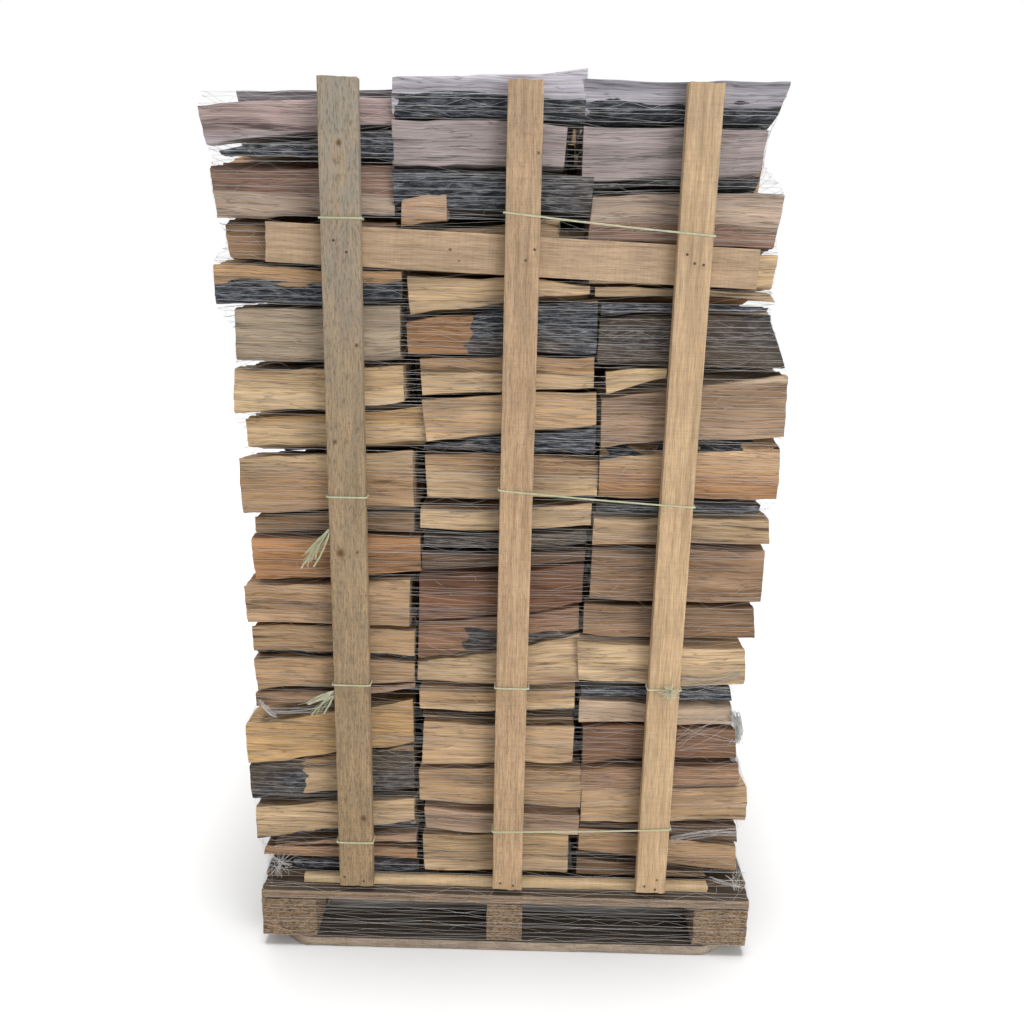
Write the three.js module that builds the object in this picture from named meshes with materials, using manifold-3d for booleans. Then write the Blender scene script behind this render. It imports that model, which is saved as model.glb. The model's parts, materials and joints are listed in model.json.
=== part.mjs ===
// A netted pallet load of split firewood, in millimetres, +Z up.
// The front faces -Y and the logs lie along X, in three columns side by side. A net wraps the logs,
// uprights and rails stand over it at the front and the back, and baler twine ties each front upright
// to the back one.
// The origin is on the ground under the middle of the load.
import * as THREE from 'three';
import { mergeVertices } from 'three/addons/utils/BufferGeometryUtils.js';
import Module from 'manifold-3d';

const wasm = await Module();
wasm.setup();

// Driving dimensions.
const TOUCH = 0.3; // gap left between pieces that touch

const PALLET_WIDTH = 1000; // along X
const PALLET_DEPTH = 1200; // along Y
const BOARD_THICKNESS = 22; // base boards and stringers
const DECK_THICKNESS = 12;
const BLOCK_HEIGHT = 88;
const EDGE_BLOCK_WIDTH = 113;
const MIDDLE_BLOCK_WIDTH = 76;
const BLOCK_DEPTH = 100;
const DECK_BOARD_WIDTH = 145;
const DECK_BOARDS = 5;
const DECK_SETBACK = 46; // deck board ends behind the pallet's edge
const BASE_BOARD_WIDTH = 100;
const CORNER_CUT = 84; // chamfer on the base's corners, along X
const CORNER_CUT_DEPTH = 60;

const UPRIGHT_THICKNESS = 24;
const UPRIGHT_TOP = 1675;
const UPRIGHTS = { // x at mid height, width, and lean of the top towards +X in degrees
  left: { x: -304, width: 68, lean: 0 },
  middle: { x: 5.8, width: 60, lean: 0.15 },
  right: { x: 300, width: 60, lean: 0.36 },
};
const BATTEN_BEVEL = 1.2;

const RAIL_THICKNESS = 21;
const UPPER_RAIL = { length: 862, height: 68, x: -10, z: 1394, tilt: 2.07 };
const BACK_UPPER_RAIL = { length: 880, height: 68, x: 6, z: 1372, tilt: 0 };
const LOWER_RAIL = { length: 836, height: 15, x: 0 }; // stands on the stringer, in front of the deck

const TWINE_DIAMETER = 3.5;
const TWINE_SIDES = 8;
const TWINE_CORNER = 2.9; // radius of the twine's bend round an upright's bevelled edge
const TWINE_LEVEL = { // height of each tie at the left upright, the middle one and the right one
  a: { left: 1450, middle: 1464, right: 1432 },
  b: { left: 961, middle: 980, right: 956 },
  c: { left: 589, middle: 590, right: 594 },
  d: { left: 246, middle: 278, right: 293 },
};

const STACK_DEPTH = 1105; // front log faces to back ones, inside the net
const LOG_BULGE = 14; // how far a log's face stands out between the courses' grooves
const COURSE_HEIGHT = 88;
const ROW_DEPTH = 111; // one log, front to back
const TWINE_CHANNEL = 3; // free height above and below a tie's middle
const MID_SPLIT = 1205; // a level joint between the ties of levels b and a
const STACK_TOP = { left: 1655, middle: 1700, right: 1684 };
const END_SCATTER = 16; // how far the log ends step in and out
const WIDEST_X = 550; // the furthest log ends, on both sides

// Each column's ends, from the lowest tier to the highest.
const COLUMN_ENDS = {
  left: [[-520, -177], [-527, -183], [-524, -180], [-512, -175], [-546, -196], [-WIDEST_X, -214]],
  middle: [[-170, 145], [-176, 138], [-172, 146], [-158, 154], [-188, 130], [-206, 100]],
  right: [[152, 480], [146, 480], [154, 484], [163, 492], [140, 480], [134, WIDEST_X]],
};

const NET_WALL = 1.6; // between the logs and the rails
const NET_BOTTOM = 150;
const NET_TOP = 1600;
const NET_ROWS = 16; // openings from the bottom to the top
const NET_STRAND = 3; // height and width of the strands between the openings
const NET_UPRIGHT_STRANDS = { front: [-445, -184, 0, 184, 445], side: [-276, 0, 276] };

// Heights worked out from the pallet's boards.
const BLOCK_BOTTOM = BOARD_THICKNESS;
const STRINGER_BOTTOM = BLOCK_BOTTOM + BLOCK_HEIGHT;
const DECK_BOTTOM = STRINGER_BOTTOM + BOARD_THICKNESS;
const DECK_TOP = DECK_BOTTOM + DECK_THICKNESS;
const UPRIGHT_MIDDLE = (DECK_TOP + UPRIGHT_TOP) / 2;

const part = new THREE.Group();

const finishes = {
  deckWood: { color: 0x9a8468, roughness: 0.85 },
  chipboard: { color: 0x8a7355, roughness: 0.9 },
  paleBatten: { color: 0xc7a277, roughness: 0.75 },
  greyBatten: { color: 0xa08c6e, roughness: 0.8 },
  splitLog: { color: 0xb0926a, roughness: 0.8 },
  twine: { color: 0xa9b48a, roughness: 0.6 },
  net: { color: 0xe6e9ea, roughness: 0.5 },
};

function addMesh(name, geometry, finish) {
  const material = new THREE.MeshStandardMaterial({ ...finishes[finish], metalness: 0 });
  const mesh = new THREE.Mesh(geometry, material);
  mesh.name = name;
  part.add(mesh);
  return mesh;
}

function addBoard(name, size, centre, finish) {
  const mesh = addMesh(name, new THREE.BoxGeometry(...size), finish);
  mesh.position.set(...centre);
}

// A prism of a plan outline [[x, y], ...] between two heights.
function planPrism(outline, bottom, top) {
  const shape = new THREE.Shape(outline.map(([x, y]) => new THREE.Vector2(x, y)));
  const prism = new THREE.ExtrudeGeometry(shape, { depth: top - bottom, bevelEnabled: false });
  return prism.translate(0, 0, bottom);
}

// A prism of a side outline [[y, z], ...] along X.
function sidePrism(outline, xStart, xEnd) {
  const shape = new THREE.Shape(outline.map(([y, z]) => new THREE.Vector2(y, z)));
  const prism = new THREE.ExtrudeGeometry(shape, { depth: xEnd - xStart, bevelEnabled: false });
  const yzxToXyz = new THREE.Matrix4().set(0, 0, 1, xStart, 1, 0, 0, 0, 0, 1, 0, 0, 0, 0, 0, 1);
  return prism.applyMatrix4(yzxToXyz);
}

function toSolid(geometry) {
  const bare = geometry.clone();
  bare.deleteAttribute('normal');
  bare.deleteAttribute('uv');
  const merged = mergeVertices(bare, 1e-4);
  return new wasm.Manifold(new wasm.Mesh({
    numProp: 3,
    vertProperties: new Float32Array(merged.attributes.position.array),
    triVerts: new Uint32Array(merged.index.array),
  }));
}

function toGeometry(solid) {
  const { vertProperties, triVerts } = solid.getMesh();
  const geometry = new THREE.BufferGeometry();
  geometry.setAttribute('position', new THREE.BufferAttribute(new Float32Array(vertProperties), 3));
  geometry.setIndex(new THREE.BufferAttribute(new Uint32Array(triVerts), 1));
  geometry.computeVertexNormals();
  return geometry;
}

// A steady value from -1 to 1 for a whole number, so that neighbouring logs differ.
function scatter(index) {
  const wave = Math.sin(index * 12.9898) * 43758.5453;
  return 2 * (wave - Math.floor(wave)) - 1;
}

// ---- Pallet: base boards, blocks, stringers and deck boards ----

function addPallet() {
  const halfWidth = PALLET_WIDTH / 2;
  const halfDepth = PALLET_DEPTH / 2;
  const boardBody = BOARD_THICKNESS - TOUCH;
  const deckBody = DECK_THICKNESS - TOUCH;
  const columns = [
    { name: 'left', x: -halfWidth + EDGE_BLOCK_WIDTH / 2, width: EDGE_BLOCK_WIDTH },
    { name: 'middle', x: 0, width: MIDDLE_BLOCK_WIDTH },
    { name: 'right', x: halfWidth - EDGE_BLOCK_WIDTH / 2, width: EDGE_BLOCK_WIDTH },
  ];
  const rows = [
    { name: 'front', y: -halfDepth + BLOCK_DEPTH / 2 },
    { name: 'centre', y: 0 },
    { name: 'back', y: halfDepth - BLOCK_DEPTH / 2 },
  ];

  for (const side of [{ name: 'front', sign: -1 }, { name: 'back', sign: 1 }]) {
    const outer = side.sign * halfDepth;
    const cut = side.sign * (halfDepth - CORNER_CUT_DEPTH);
    const inner = side.sign * (halfDepth - BASE_BOARD_WIDTH);
    const outline = [
      [-halfWidth + CORNER_CUT, outer], [halfWidth - CORNER_CUT, outer],
      [halfWidth, cut], [halfWidth, inner], [-halfWidth, inner], [-halfWidth, cut],
    ];
    if (side.sign > 0) outline.reverse();
    addMesh(`base_board_${side.name}`, planPrism(outline, 0, boardBody), 'deckWood');
  }

  const runnerLength = PALLET_DEPTH - 2 * (BASE_BOARD_WIDTH + TOUCH);
  for (const column of columns) {
    const size = [column.width, runnerLength, boardBody];
    addBoard(`base_board_${column.name}`, size, [column.x, 0, boardBody / 2], 'deckWood');
    for (const row of rows) {
      const height = BLOCK_HEIGHT - TOUCH;
      const centre = [column.x, row.y, BLOCK_BOTTOM + height / 2];
      addBoard(`block_${row.name}_${column.name}`, [column.width, BLOCK_DEPTH, height], centre, 'chipboard');
    }
  }

  for (const row of rows) {
    const centre = [0, row.y, STRINGER_BOTTOM + boardBody / 2];
    addBoard(`stringer_${row.name}`, [PALLET_WIDTH, BLOCK_DEPTH, boardBody], centre, 'deckWood');
  }

  const pitch = (PALLET_WIDTH - DECK_BOARD_WIDTH) / (DECK_BOARDS - 1);
  for (let i = 0; i < DECK_BOARDS; i++) {
    const x = -halfWidth + DECK_BOARD_WIDTH / 2 + i * pitch;
    const size = [DECK_BOARD_WIDTH, PALLET_DEPTH - 2 * DECK_SETBACK, deckBody];
    addBoard(`deck_board_${i + 1}`, size, [x, 0, DECK_BOTTOM + deckBody / 2], 'deckWood');
  }
}

// ---- Battens: sawn uprights and rails, with their long edges eased ----

// A board with bevelled edges, its thickness along Y, centred on the origin.
function battenGeometry(width, thickness, height) {
  const shape = new THREE.Shape();
  const x = width / 2 - BATTEN_BEVEL;
  const z = height / 2 - BATTEN_BEVEL;
  shape.moveTo(-x, -z).lineTo(x, -z).lineTo(x, z).lineTo(-x, z).closePath();
  const batten = new THREE.ExtrudeGeometry(shape, {
    depth: thickness - 2 * BATTEN_BEVEL,
    bevelThickness: BATTEN_BEVEL,
    bevelSize: BATTEN_BEVEL,
    bevelSegments: 1,
  });
  batten.translate(0, 0, -(thickness - 2 * BATTEN_BEVEL) / 2);
  return batten.rotateX(Math.PI / 2);
}

function addBattens() {
  const bottom = DECK_TOP;
  const height = UPRIGHT_TOP - bottom;
  const uprightY = PALLET_DEPTH / 2 - UPRIGHT_THICKNESS / 2;
  const railY = PALLET_DEPTH / 2 - UPRIGHT_THICKNESS - TOUCH - RAIL_THICKNESS / 2;
  for (const side of [{ name: 'front', sign: -1 }, { name: 'back', sign: 1 }]) {
    for (const [place, { x, width, lean }] of Object.entries(UPRIGHTS)) {
      const finish = place === 'left' ? 'greyBatten' : 'paleBatten';
      const geometry = battenGeometry(width, UPRIGHT_THICKNESS, height);
      const mesh = addMesh(`upright_${side.name}_${place}`, geometry, finish);
      mesh.position.set(x, side.sign * uprightY, UPRIGHT_MIDDLE);
      mesh.rotation.y = THREE.MathUtils.degToRad(lean);
    }
    const upper = side.sign < 0 ? UPPER_RAIL : BACK_UPPER_RAIL;
    const upperRail = battenGeometry(upper.length, RAIL_THICKNESS, upper.height);
    const upperMesh = addMesh(`rail_${side.name}_upper`, upperRail, 'paleBatten');
    upperMesh.position.set(upper.x, side.sign * railY, upper.z);
    upperMesh.rotation.y = THREE.MathUtils.degToRad(upper.tilt);
    const lowerRail = battenGeometry(LOWER_RAIL.length, RAIL_THICKNESS, LOWER_RAIL.height);
    const lowerMesh = addMesh(`rail_${side.name}_lower`, lowerRail, 'paleBatten');
    lowerMesh.position.set(LOWER_RAIL.x, side.sign * railY, DECK_BOTTOM + LOWER_RAIL.height / 2);
  }
}

// ---- Log tiers: each stands for the courses of split logs between two ties ----

// The front or back edge of a tier's side outline: one bulge for each course, from bottom to top.
function courseEdge(sign, bottom, top) {
  const courses = Math.max(1, Math.round((top - bottom) / COURSE_HEIGHT));
  const step = (top - bottom) / courses;
  const groove = STACK_DEPTH / 2 - LOG_BULGE;
  const face = STACK_DEPTH / 2;
  const points = [];
  for (let i = 0; i < courses; i++) {
    const z = bottom + i * step;
    points.push([sign * groove, z], [sign * face, z + 0.2 * step], [sign * face, z + 0.8 * step]);
  }
  points.push([sign * groove, top]);
  return points;
}

// A tier's plan outline: log ends that step in and out from row to row.
function rowOutline(xStart, xEnd, seed) {
  const rows = Math.round(STACK_DEPTH / ROW_DEPTH);
  const step = STACK_DEPTH / rows;
  const leftSide = [];
  const rightSide = [];
  for (let i = 0; i < rows; i++) {
    const y = -STACK_DEPTH / 2 + i * step;
    const inset = (side) => END_SCATTER * 0.5 * (1 + scatter(seed + 7 * i + side));
    const left = i === rows - 2 ? xStart : xStart + inset(1);
    const right = i === rows - 2 ? xEnd : xEnd - inset(2);
    leftSide.push([left, y], [left, y + step]);
    rightSide.push([right, y], [right, y + step]);
  }
  return [...rightSide, ...leftSide.reverse()];
}

function addLogTiers() {
  let seed = 1;
  for (const [column, ends] of Object.entries(COLUMN_ENDS)) {
    const ties = ['d', 'c', 'b', 'a'].map((level) => TWINE_LEVEL[level][column]);
    const joints = [
      { low: DECK_TOP, high: DECK_TOP },
      ...ties.slice(0, 3).map((z) => ({ low: z - TWINE_CHANNEL, high: z + TWINE_CHANNEL })),
      { low: MID_SPLIT - TOUCH, high: MID_SPLIT },
      { low: ties[3] - TWINE_CHANNEL, high: ties[3] + TWINE_CHANNEL },
      { low: STACK_TOP[column], high: STACK_TOP[column] },
    ];
    ends.forEach(([xStart, xEnd], i) => {
      const bottom = joints[i].high;
      const top = joints[i + 1].low;
      const front = courseEdge(-1, bottom, top);
      const back = courseEdge(1, bottom, top).reverse();
      const courses = toSolid(sidePrism([...back, ...front], xStart - 1, xEnd + 1));
      const rows = toSolid(planPrism(rowOutline(xStart, xEnd, seed), bottom - 1, top + 1));
      addMesh(`log_tier_${column}_${i + 1}`, toGeometry(courses.intersect(rows)), 'splitLog');
      seed += 100;
    });
  }
}

// ---- Twine: each tie is one closed loop, front to back through the stack ----

// A loop round the uprights from xStart to xEnd, at a height that changes evenly along X.
function twineLoop(xStart, xEnd, zStart, zEnd) {
  const reachX = TWINE_DIAMETER / 2 + 2 * TOUCH;
  const x0 = xStart - reachX;
  const x1 = xEnd + reachX;
  const y1 = PALLET_DEPTH / 2 + TWINE_DIAMETER / 2 + TOUCH;
  const zAt = (x) => zStart + ((zEnd - zStart) * (x - x0)) / (x1 - x0);
  const corners = [[x1, -y1, -90], [x1, y1, 0], [x0, y1, 90], [x0, -y1, 180]];
  const points = [];
  for (const [x, y, startAngle] of corners) {
    const cx = x - Math.sign(x - (x0 + x1) / 2) * TWINE_CORNER;
    const cy = y - Math.sign(y) * TWINE_CORNER;
    for (const share of [0, 0.5, 1]) {
      const angle = THREE.MathUtils.degToRad(startAngle + 90 * share);
      const px = cx + TWINE_CORNER * Math.cos(angle);
      points.push(new THREE.Vector3(px, cy + TWINE_CORNER * Math.sin(angle), zAt(px)));
    }
  }
  return points;
}

// A closed tube of one section along the loop's points, mitred at each of them.
function twineGeometry(loop) {
  const positions = [];
  const index = [];
  const up = new THREE.Vector3(0, 0, 1);
  loop.forEach((point, i) => {
    const before = loop[(i + loop.length - 1) % loop.length];
    const after = loop[(i + 1) % loop.length];
    const inward = point.clone().sub(before).normalize();
    const outward = after.clone().sub(point).normalize();
    const along = inward.clone().add(outward).normalize();
    const across = along.clone().cross(up).normalize();
    const normal = across.clone().cross(along).normalize();
    const stretch = 1 / Math.max(0.5, along.dot(inward));
    for (let k = 0; k < TWINE_SIDES; k++) {
      const angle = (2 * Math.PI * k) / TWINE_SIDES;
      const place = point.clone()
        .addScaledVector(across, 0.5 * TWINE_DIAMETER * stretch * Math.cos(angle))
        .addScaledVector(normal, 0.5 * TWINE_DIAMETER * Math.sin(angle));
      positions.push(place.x, place.y, place.z);
      const a = i * TWINE_SIDES + k;
      const b = i * TWINE_SIDES + ((k + 1) % TWINE_SIDES);
      const nextRing = ((i + 1) % loop.length) * TWINE_SIDES;
      const c = nextRing + k;
      const d = nextRing + ((k + 1) % TWINE_SIDES);
      index.push(a, d, b, a, c, d);
    }
  });
  const geometry = new THREE.BufferGeometry();
  geometry.setAttribute('position', new THREE.Float32BufferAttribute(positions, 3));
  geometry.setIndex(index);
  geometry.computeVertexNormals();
  return geometry;
}

// Where an upright's side edge is at a height; side is -1 for the edge towards -X and 1 for the other.
function uprightEdge(place, side, z) {
  const { x, width, lean } = UPRIGHTS[place];
  return x + Math.tan(THREE.MathUtils.degToRad(lean)) * (z - UPRIGHT_MIDDLE) + side * width / 2;
}

function addTwine() {
  const addTie = (name, from, to, zStart, zEnd) => {
    const loop = twineLoop(uprightEdge(from, -1, zStart), uprightEdge(to, 1, zEnd), zStart, zEnd);
    addMesh(name, twineGeometry(loop), 'twine');
  };
  for (const [level, z] of Object.entries(TWINE_LEVEL)) {
    addTie(`twine_tie_${level}_left`, 'left', 'left', z.left, z.left);
    if (level === 'c') {
      addTie('twine_tie_c_middle', 'middle', 'middle', z.middle, z.middle);
      addTie('twine_tie_c_right', 'right', 'right', z.right, z.right);
    } else {
      addTie(`twine_tie_${level}_pair`, 'middle', 'right', z.middle, z.right);
    }
  }
}

// ---- Net: a coarse lattice of strands round the logs, open above and below ----

// The spans between strands across a wall that is reach wide on each side of the middle.
function netSpans(strands, reach) {
  const middles = [-reach, ...strands, reach];
  const half = NET_STRAND / 2;
  return middles.slice(1).map((middle, i) => [middles[i] + half, middle - half]);
}

function addNet() {
  const innerX = WIDEST_X + 1;
  const innerY = STACK_DEPTH / 2 + TOUCH;
  const ring = (wall) => {
    const x = innerX + wall;
    const y = innerY + wall;
    return [[-x, -y], [x, -y], [x, y], [-x, y]];
  };
  const walls = toSolid(planPrism(ring(NET_WALL), NET_BOTTOM, NET_TOP));
  const inside = toSolid(planPrism(ring(0), NET_BOTTOM - 1, NET_TOP + 1));
  const pitch = (NET_TOP - NET_STRAND - NET_BOTTOM) / NET_ROWS;
  const openings = [];
  const addOpening = (x0, x1, y0, y1, row) => {
    const bottom = NET_BOTTOM + NET_STRAND + row * pitch;
    const plan = planPrism([[x0, y0], [x1, y0], [x1, y1], [x0, y1]], bottom, bottom + pitch - NET_STRAND);
    openings.push(toSolid(plan));
  };
  const through = WIDEST_X + PALLET_DEPTH; // well past both walls
  const frontSpans = netSpans(NET_UPRIGHT_STRANDS.front, innerX);
  const sideSpans = netSpans(NET_UPRIGHT_STRANDS.side, innerY);
  for (let row = 0; row < NET_ROWS; row++) {
    for (const [x0, x1] of frontSpans) addOpening(x0, x1, -through, through, row);
    for (const [y0, y1] of sideSpans) addOpening(-through, through, y0, y1, row);
  }
  const net = openings.reduce((solid, opening) => solid.subtract(opening), walls.subtract(inside));
  addMesh('net_skin', toGeometry(net), 'net');
}

addPallet();
addBattens();
addLogTiers();
addTwine();
addNet();

export default part;
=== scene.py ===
"""A netted pallet load of split firewood: looks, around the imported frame. Metres, +Z up, front towards -Y."""

import json
import math

import bpy
import numpy as np
from mathutils import Matrix, Vector

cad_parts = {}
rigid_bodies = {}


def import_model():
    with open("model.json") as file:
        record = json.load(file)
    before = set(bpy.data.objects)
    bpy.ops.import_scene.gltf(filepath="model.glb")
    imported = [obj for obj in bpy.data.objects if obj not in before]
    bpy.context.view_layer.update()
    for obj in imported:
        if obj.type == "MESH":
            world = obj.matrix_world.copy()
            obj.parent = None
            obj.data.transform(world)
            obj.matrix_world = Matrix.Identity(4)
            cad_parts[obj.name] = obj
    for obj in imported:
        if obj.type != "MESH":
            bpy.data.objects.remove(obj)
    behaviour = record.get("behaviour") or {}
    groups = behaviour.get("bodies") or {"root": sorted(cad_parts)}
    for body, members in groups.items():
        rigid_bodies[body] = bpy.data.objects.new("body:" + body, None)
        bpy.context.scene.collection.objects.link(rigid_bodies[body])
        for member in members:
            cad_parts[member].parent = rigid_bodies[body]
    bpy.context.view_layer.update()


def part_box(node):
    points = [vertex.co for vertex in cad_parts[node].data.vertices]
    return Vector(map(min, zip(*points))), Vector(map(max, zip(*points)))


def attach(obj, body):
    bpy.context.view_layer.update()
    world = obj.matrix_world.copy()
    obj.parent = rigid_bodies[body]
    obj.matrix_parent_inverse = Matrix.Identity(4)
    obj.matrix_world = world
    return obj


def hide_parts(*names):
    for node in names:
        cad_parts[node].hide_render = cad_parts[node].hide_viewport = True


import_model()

MM = 0.001


# ---- Camera -------------------------------------------------------------------------------------------

def add_camera():
    """A hand-held view of the front from 1.7 m away, rolled a little, looking down 14 degrees."""
    position = Vector((0.0129, -2.2865, 1.3702))
    pitch, roll, yaw = math.radians(14.31), math.radians(1.134), math.radians(-0.476)
    look = Vector((math.sin(yaw) * math.cos(pitch), math.cos(yaw) * math.cos(pitch), -math.sin(pitch)))
    level = Vector((math.cos(yaw), -math.sin(yaw), 0))
    upright = level.cross(look)
    right = math.cos(roll) * level + math.sin(roll) * upright
    up = -math.sin(roll) * level + math.cos(roll) * upright
    turn = Matrix((right, up, -look)).transposed().to_4x4()
    data = bpy.data.cameras.new("camera")
    data.sensor_width = 36
    data.lens = 36 * 950 / 1024
    camera = bpy.data.objects.new("camera", data)
    camera.matrix_world = Matrix.Translation(position) @ turn
    bpy.context.scene.collection.objects.link(camera)
    bpy.context.scene.camera = camera


add_camera()


# ---- Small tools --------------------------------------------------------------------------------------

def linear(hex_colour):
    """An sRGB hex colour as linear red, green, blue and 1."""
    parts = [int(hex_colour[i:i + 2], 16) / 255 for i in (1, 3, 5)]
    return (*[c / 12.92 if c <= 0.04045 else ((c + 0.055) / 1.055) ** 2.4 for c in parts], 1.0)


def feed(tree, node, inputs):
    """Sets a node's inputs: a dict by name, or a list in the order that the node shows. Each is a value or
    another node's output."""
    shown = [s for s in node.inputs if s.enabled]
    for key, value in (inputs.items() if isinstance(inputs, dict) else enumerate(inputs)):
        socket = shown[key] if isinstance(key, int) else node.inputs[key]
        if isinstance(value, bpy.types.NodeSocket):
            tree.links.new(value, socket)
        else:
            socket.default_value = value


def add(tree, kind, inputs=(), out=0, stops=(), **settings):
    """Adds a node and gives one of its outputs. The kind may end in an operation, as in "Math ADD".
    Stops are a colour ramp's places and colours, where a plain number is a grey."""
    kind, _, operation = kind.partition(" ")
    node = tree.nodes.new(kind if "Node" in kind else "ShaderNode" + kind)
    if operation:
        settings["operation"] = operation
    for key, value in settings.items():
        setattr(node, key, value)
    feed(tree, node, inputs)
    for i, (place, colour) in enumerate(stops):
        points = node.color_ramp.elements
        point = points[i] if i < 2 else points.new(place)
        point.position = place
        point.color = linear(colour) if isinstance(colour, str) else (colour, colour, colour, 1)
    return node.outputs[out] if isinstance(out, str) else [s for s in node.outputs if s.enabled][out]


def new_material(name):
    material = bpy.data.materials.new(name)
    material.use_nodes = True
    tree = material.node_tree
    return material, tree, tree.nodes["Principled BSDF"]


def patterns_on(tree, place, table):
    """The noise patterns of a material, by name. Each row gives a pattern's name, its sizes in
    millimetres along the three axes of place, its detail and its roughness."""
    made = {}
    for name, size, detail, roughness in table:
        scaled = add(tree, "Mapping", {"Vector": place, "Scale": [1000 / s for s in size]})
        inputs = {"Vector": scaled, "Scale": 1.0, "Detail": detail, "Roughness": roughness}
        made[name] = add(tree, "TexNoise", inputs)
    return made


MIX = {"data_type": "RGBA", "blend_type": "MIX"}
TIMES = {"data_type": "RGBA", "blend_type": "MULTIPLY"}


def shaded(tree, colour, rows):
    """Darkens and lightens a colour: each row is a pattern, its share and the greys of its ramp."""
    for pattern, share, stops in rows:
        colour = add(tree, "Mix", [share, colour, add(tree, "ValToRGB", [pattern], stops=stops)], **TIMES)
    return colour


def stained(tree, colour, rows):
    """Turns a colour towards others: each row is a pattern, the shares of its ramp and the other colour."""
    for pattern, stops, other in rows:
        share = add(tree, "ValToRGB", [pattern], stops=stops)
        colour = add(tree, "Mix", [share, colour, linear(other)], **MIX)
    return colour


def off_middle(tree, pattern):
    """How far a noise pattern is from its middle value: near 0 along thin winding lines."""
    return add(tree, "Math ABSOLUTE", [add(tree, "Math SUBTRACT", [pattern, 0.5])])


# ---- Steady noise for shapes ------------------------------------------------------------------------

def lattice(ix, iy, iz):
    """A steady value from -1 to 1 for each whole-number point."""
    n = ix * np.uint32(73856093) ^ iy * np.uint32(19349663) ^ iz * np.uint32(83492791)
    n = (n ^ (n >> np.uint32(13))) * np.uint32(1274126177)
    return (n ^ (n >> np.uint32(16))).astype(np.float64) / 2147483648.0 - 1.0


def rough(points, size, seed=0):
    """Smooth noise from -1 to 1 at points; size is one length or one for each axis."""
    p = np.asarray(points, float) / np.asarray(size, float) + seed * 17.31
    cell = np.floor(p)
    f = p - cell
    f = f * f * (3 - 2 * f)
    base = cell.astype(np.int64)
    total = np.zeros(len(p))
    for dx in (0, 1):
        for dy in (0, 1):
            for dz in (0, 1):
                corner = (base + (dx, dy, dz)).astype(np.uint32)
                weight = np.abs(1 - dx - f[:, 0]) * np.abs(1 - dy - f[:, 1]) * np.abs(1 - dz - f[:, 2])
                total += weight * lattice(corner[:, 0], corner[:, 1], corner[:, 2])
    return total


def smooth(x, low, high):
    t = np.clip((x - low) / (high - low), 0, 1)
    return t * t * (3 - 2 * t)


# ---- Meshes from arrays -----------------------------------------------------------------------------

# An attribute's kind, and its slot for the values, by how many numbers each value has.
ATTRIBUTE_KINDS = {1: ("FLOAT", "value"), 3: ("FLOAT_VECTOR", "vector"), 4: ("FLOAT_COLOR", "color")}


def mesh_object(name, points, faces, material, values=None, face_values=None, crease=None):
    """An object at the origin from arrays. faces is a list of arrays of the same-sided faces' corners;
    values and face_values are its attributes; crease is the angle in degrees past which an edge is sharp."""
    mesh = bpy.data.meshes.new(name)
    mesh.vertices.add(len(points))
    mesh.vertices.foreach_set("co", np.asarray(points, np.float32).ravel())
    corners = np.concatenate([f.ravel() for f in faces])
    sides = np.concatenate([np.full(len(f), f.shape[1]) for f in faces])
    mesh.loops.add(len(corners))
    mesh.loops.foreach_set("vertex_index", corners.astype(np.int32))
    mesh.polygons.add(len(sides))
    starts = np.concatenate([[0], np.cumsum(sides)[:-1]])
    mesh.polygons.foreach_set("loop_start", starts.astype(np.int32))
    mesh.update(calc_edges=True)
    mesh.validate()
    for domain, group in (("POINT", values), ("FACE", face_values)):
        for key, data in (group or {}).items():
            data = np.asarray(data, np.float32)
            sort = 1 if data.ndim == 1 else data.shape[1]
            kind, slot = ATTRIBUTE_KINDS[sort]
            mesh.attributes.new(key, kind, domain).data.foreach_set(slot, data.ravel())
    mesh.polygons.foreach_set("use_smooth", np.ones(len(sides), bool))
    if crease is not None:
        mesh.set_sharp_from_angle(angle=math.radians(crease))
    thing = bpy.data.objects.new(name, mesh)
    mesh.materials.append(material)
    bpy.context.scene.collection.objects.link(thing)
    return thing


def side_faces(stations, n):
    """The quads of a loft: between each ring of n points and the next one."""
    k = np.arange(n)
    start = np.arange(stations - 1)[:, None] * n
    here, ahead = (start + k).ravel(), (start + (k + 1) % n).ravel()
    return np.stack([here, ahead, ahead + n, here + n], 1)


def close_end(rim, first, total, shares, uneven, is_last):
    """Closes a loft's end with rings inside its rim and a middle point. first is the number of the rim's
    first point, total the number of points so far, shares the rings' sizes, and uneven gives a ring its
    small bumps. Returns the new points, quads and triangles, each as a list of arrays."""
    n = len(rim)
    k = np.arange(n)
    centre = rim.mean(0)
    points, quads, outer = [], [], first + k
    for share in shares:
        points.append(uneven(centre + (rim - centre) * share))
        inner = total + k
        total += n
        a, b, c, d = outer, np.roll(outer, -1), np.roll(inner, -1), inner
        quads.append(np.stack([a, b, c, d] if is_last else [b, a, d, c], 1))
        outer = inner
    points.append(centre[None])
    a, b, middle = outer, np.roll(outer, -1), np.full(n, total)
    return points, quads, [np.stack([a, b, middle] if is_last else [b, a, middle], 1)]


def place_piece(thing, slot, *nodes):
    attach(thing, "root")
    if nodes:
        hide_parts(*nodes)
    return thing


def middle_and_size(node):
    """The middle and the size of a CAD piece's box, in millimetres."""
    low, high = np.array(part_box(node)) / MM
    return (low + high) / 2, high - low


# ---- Logs: where each one lies ----------------------------------------------------------------------
# Cleft hardwood, sawn to about 330 mm. Each row is one log of the front, from the deck up, in millimetres:
# its tone, the low and high edge at its left end and at its right end, and x of the left end (low, high)
# and of the right end (low, high).

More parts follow.
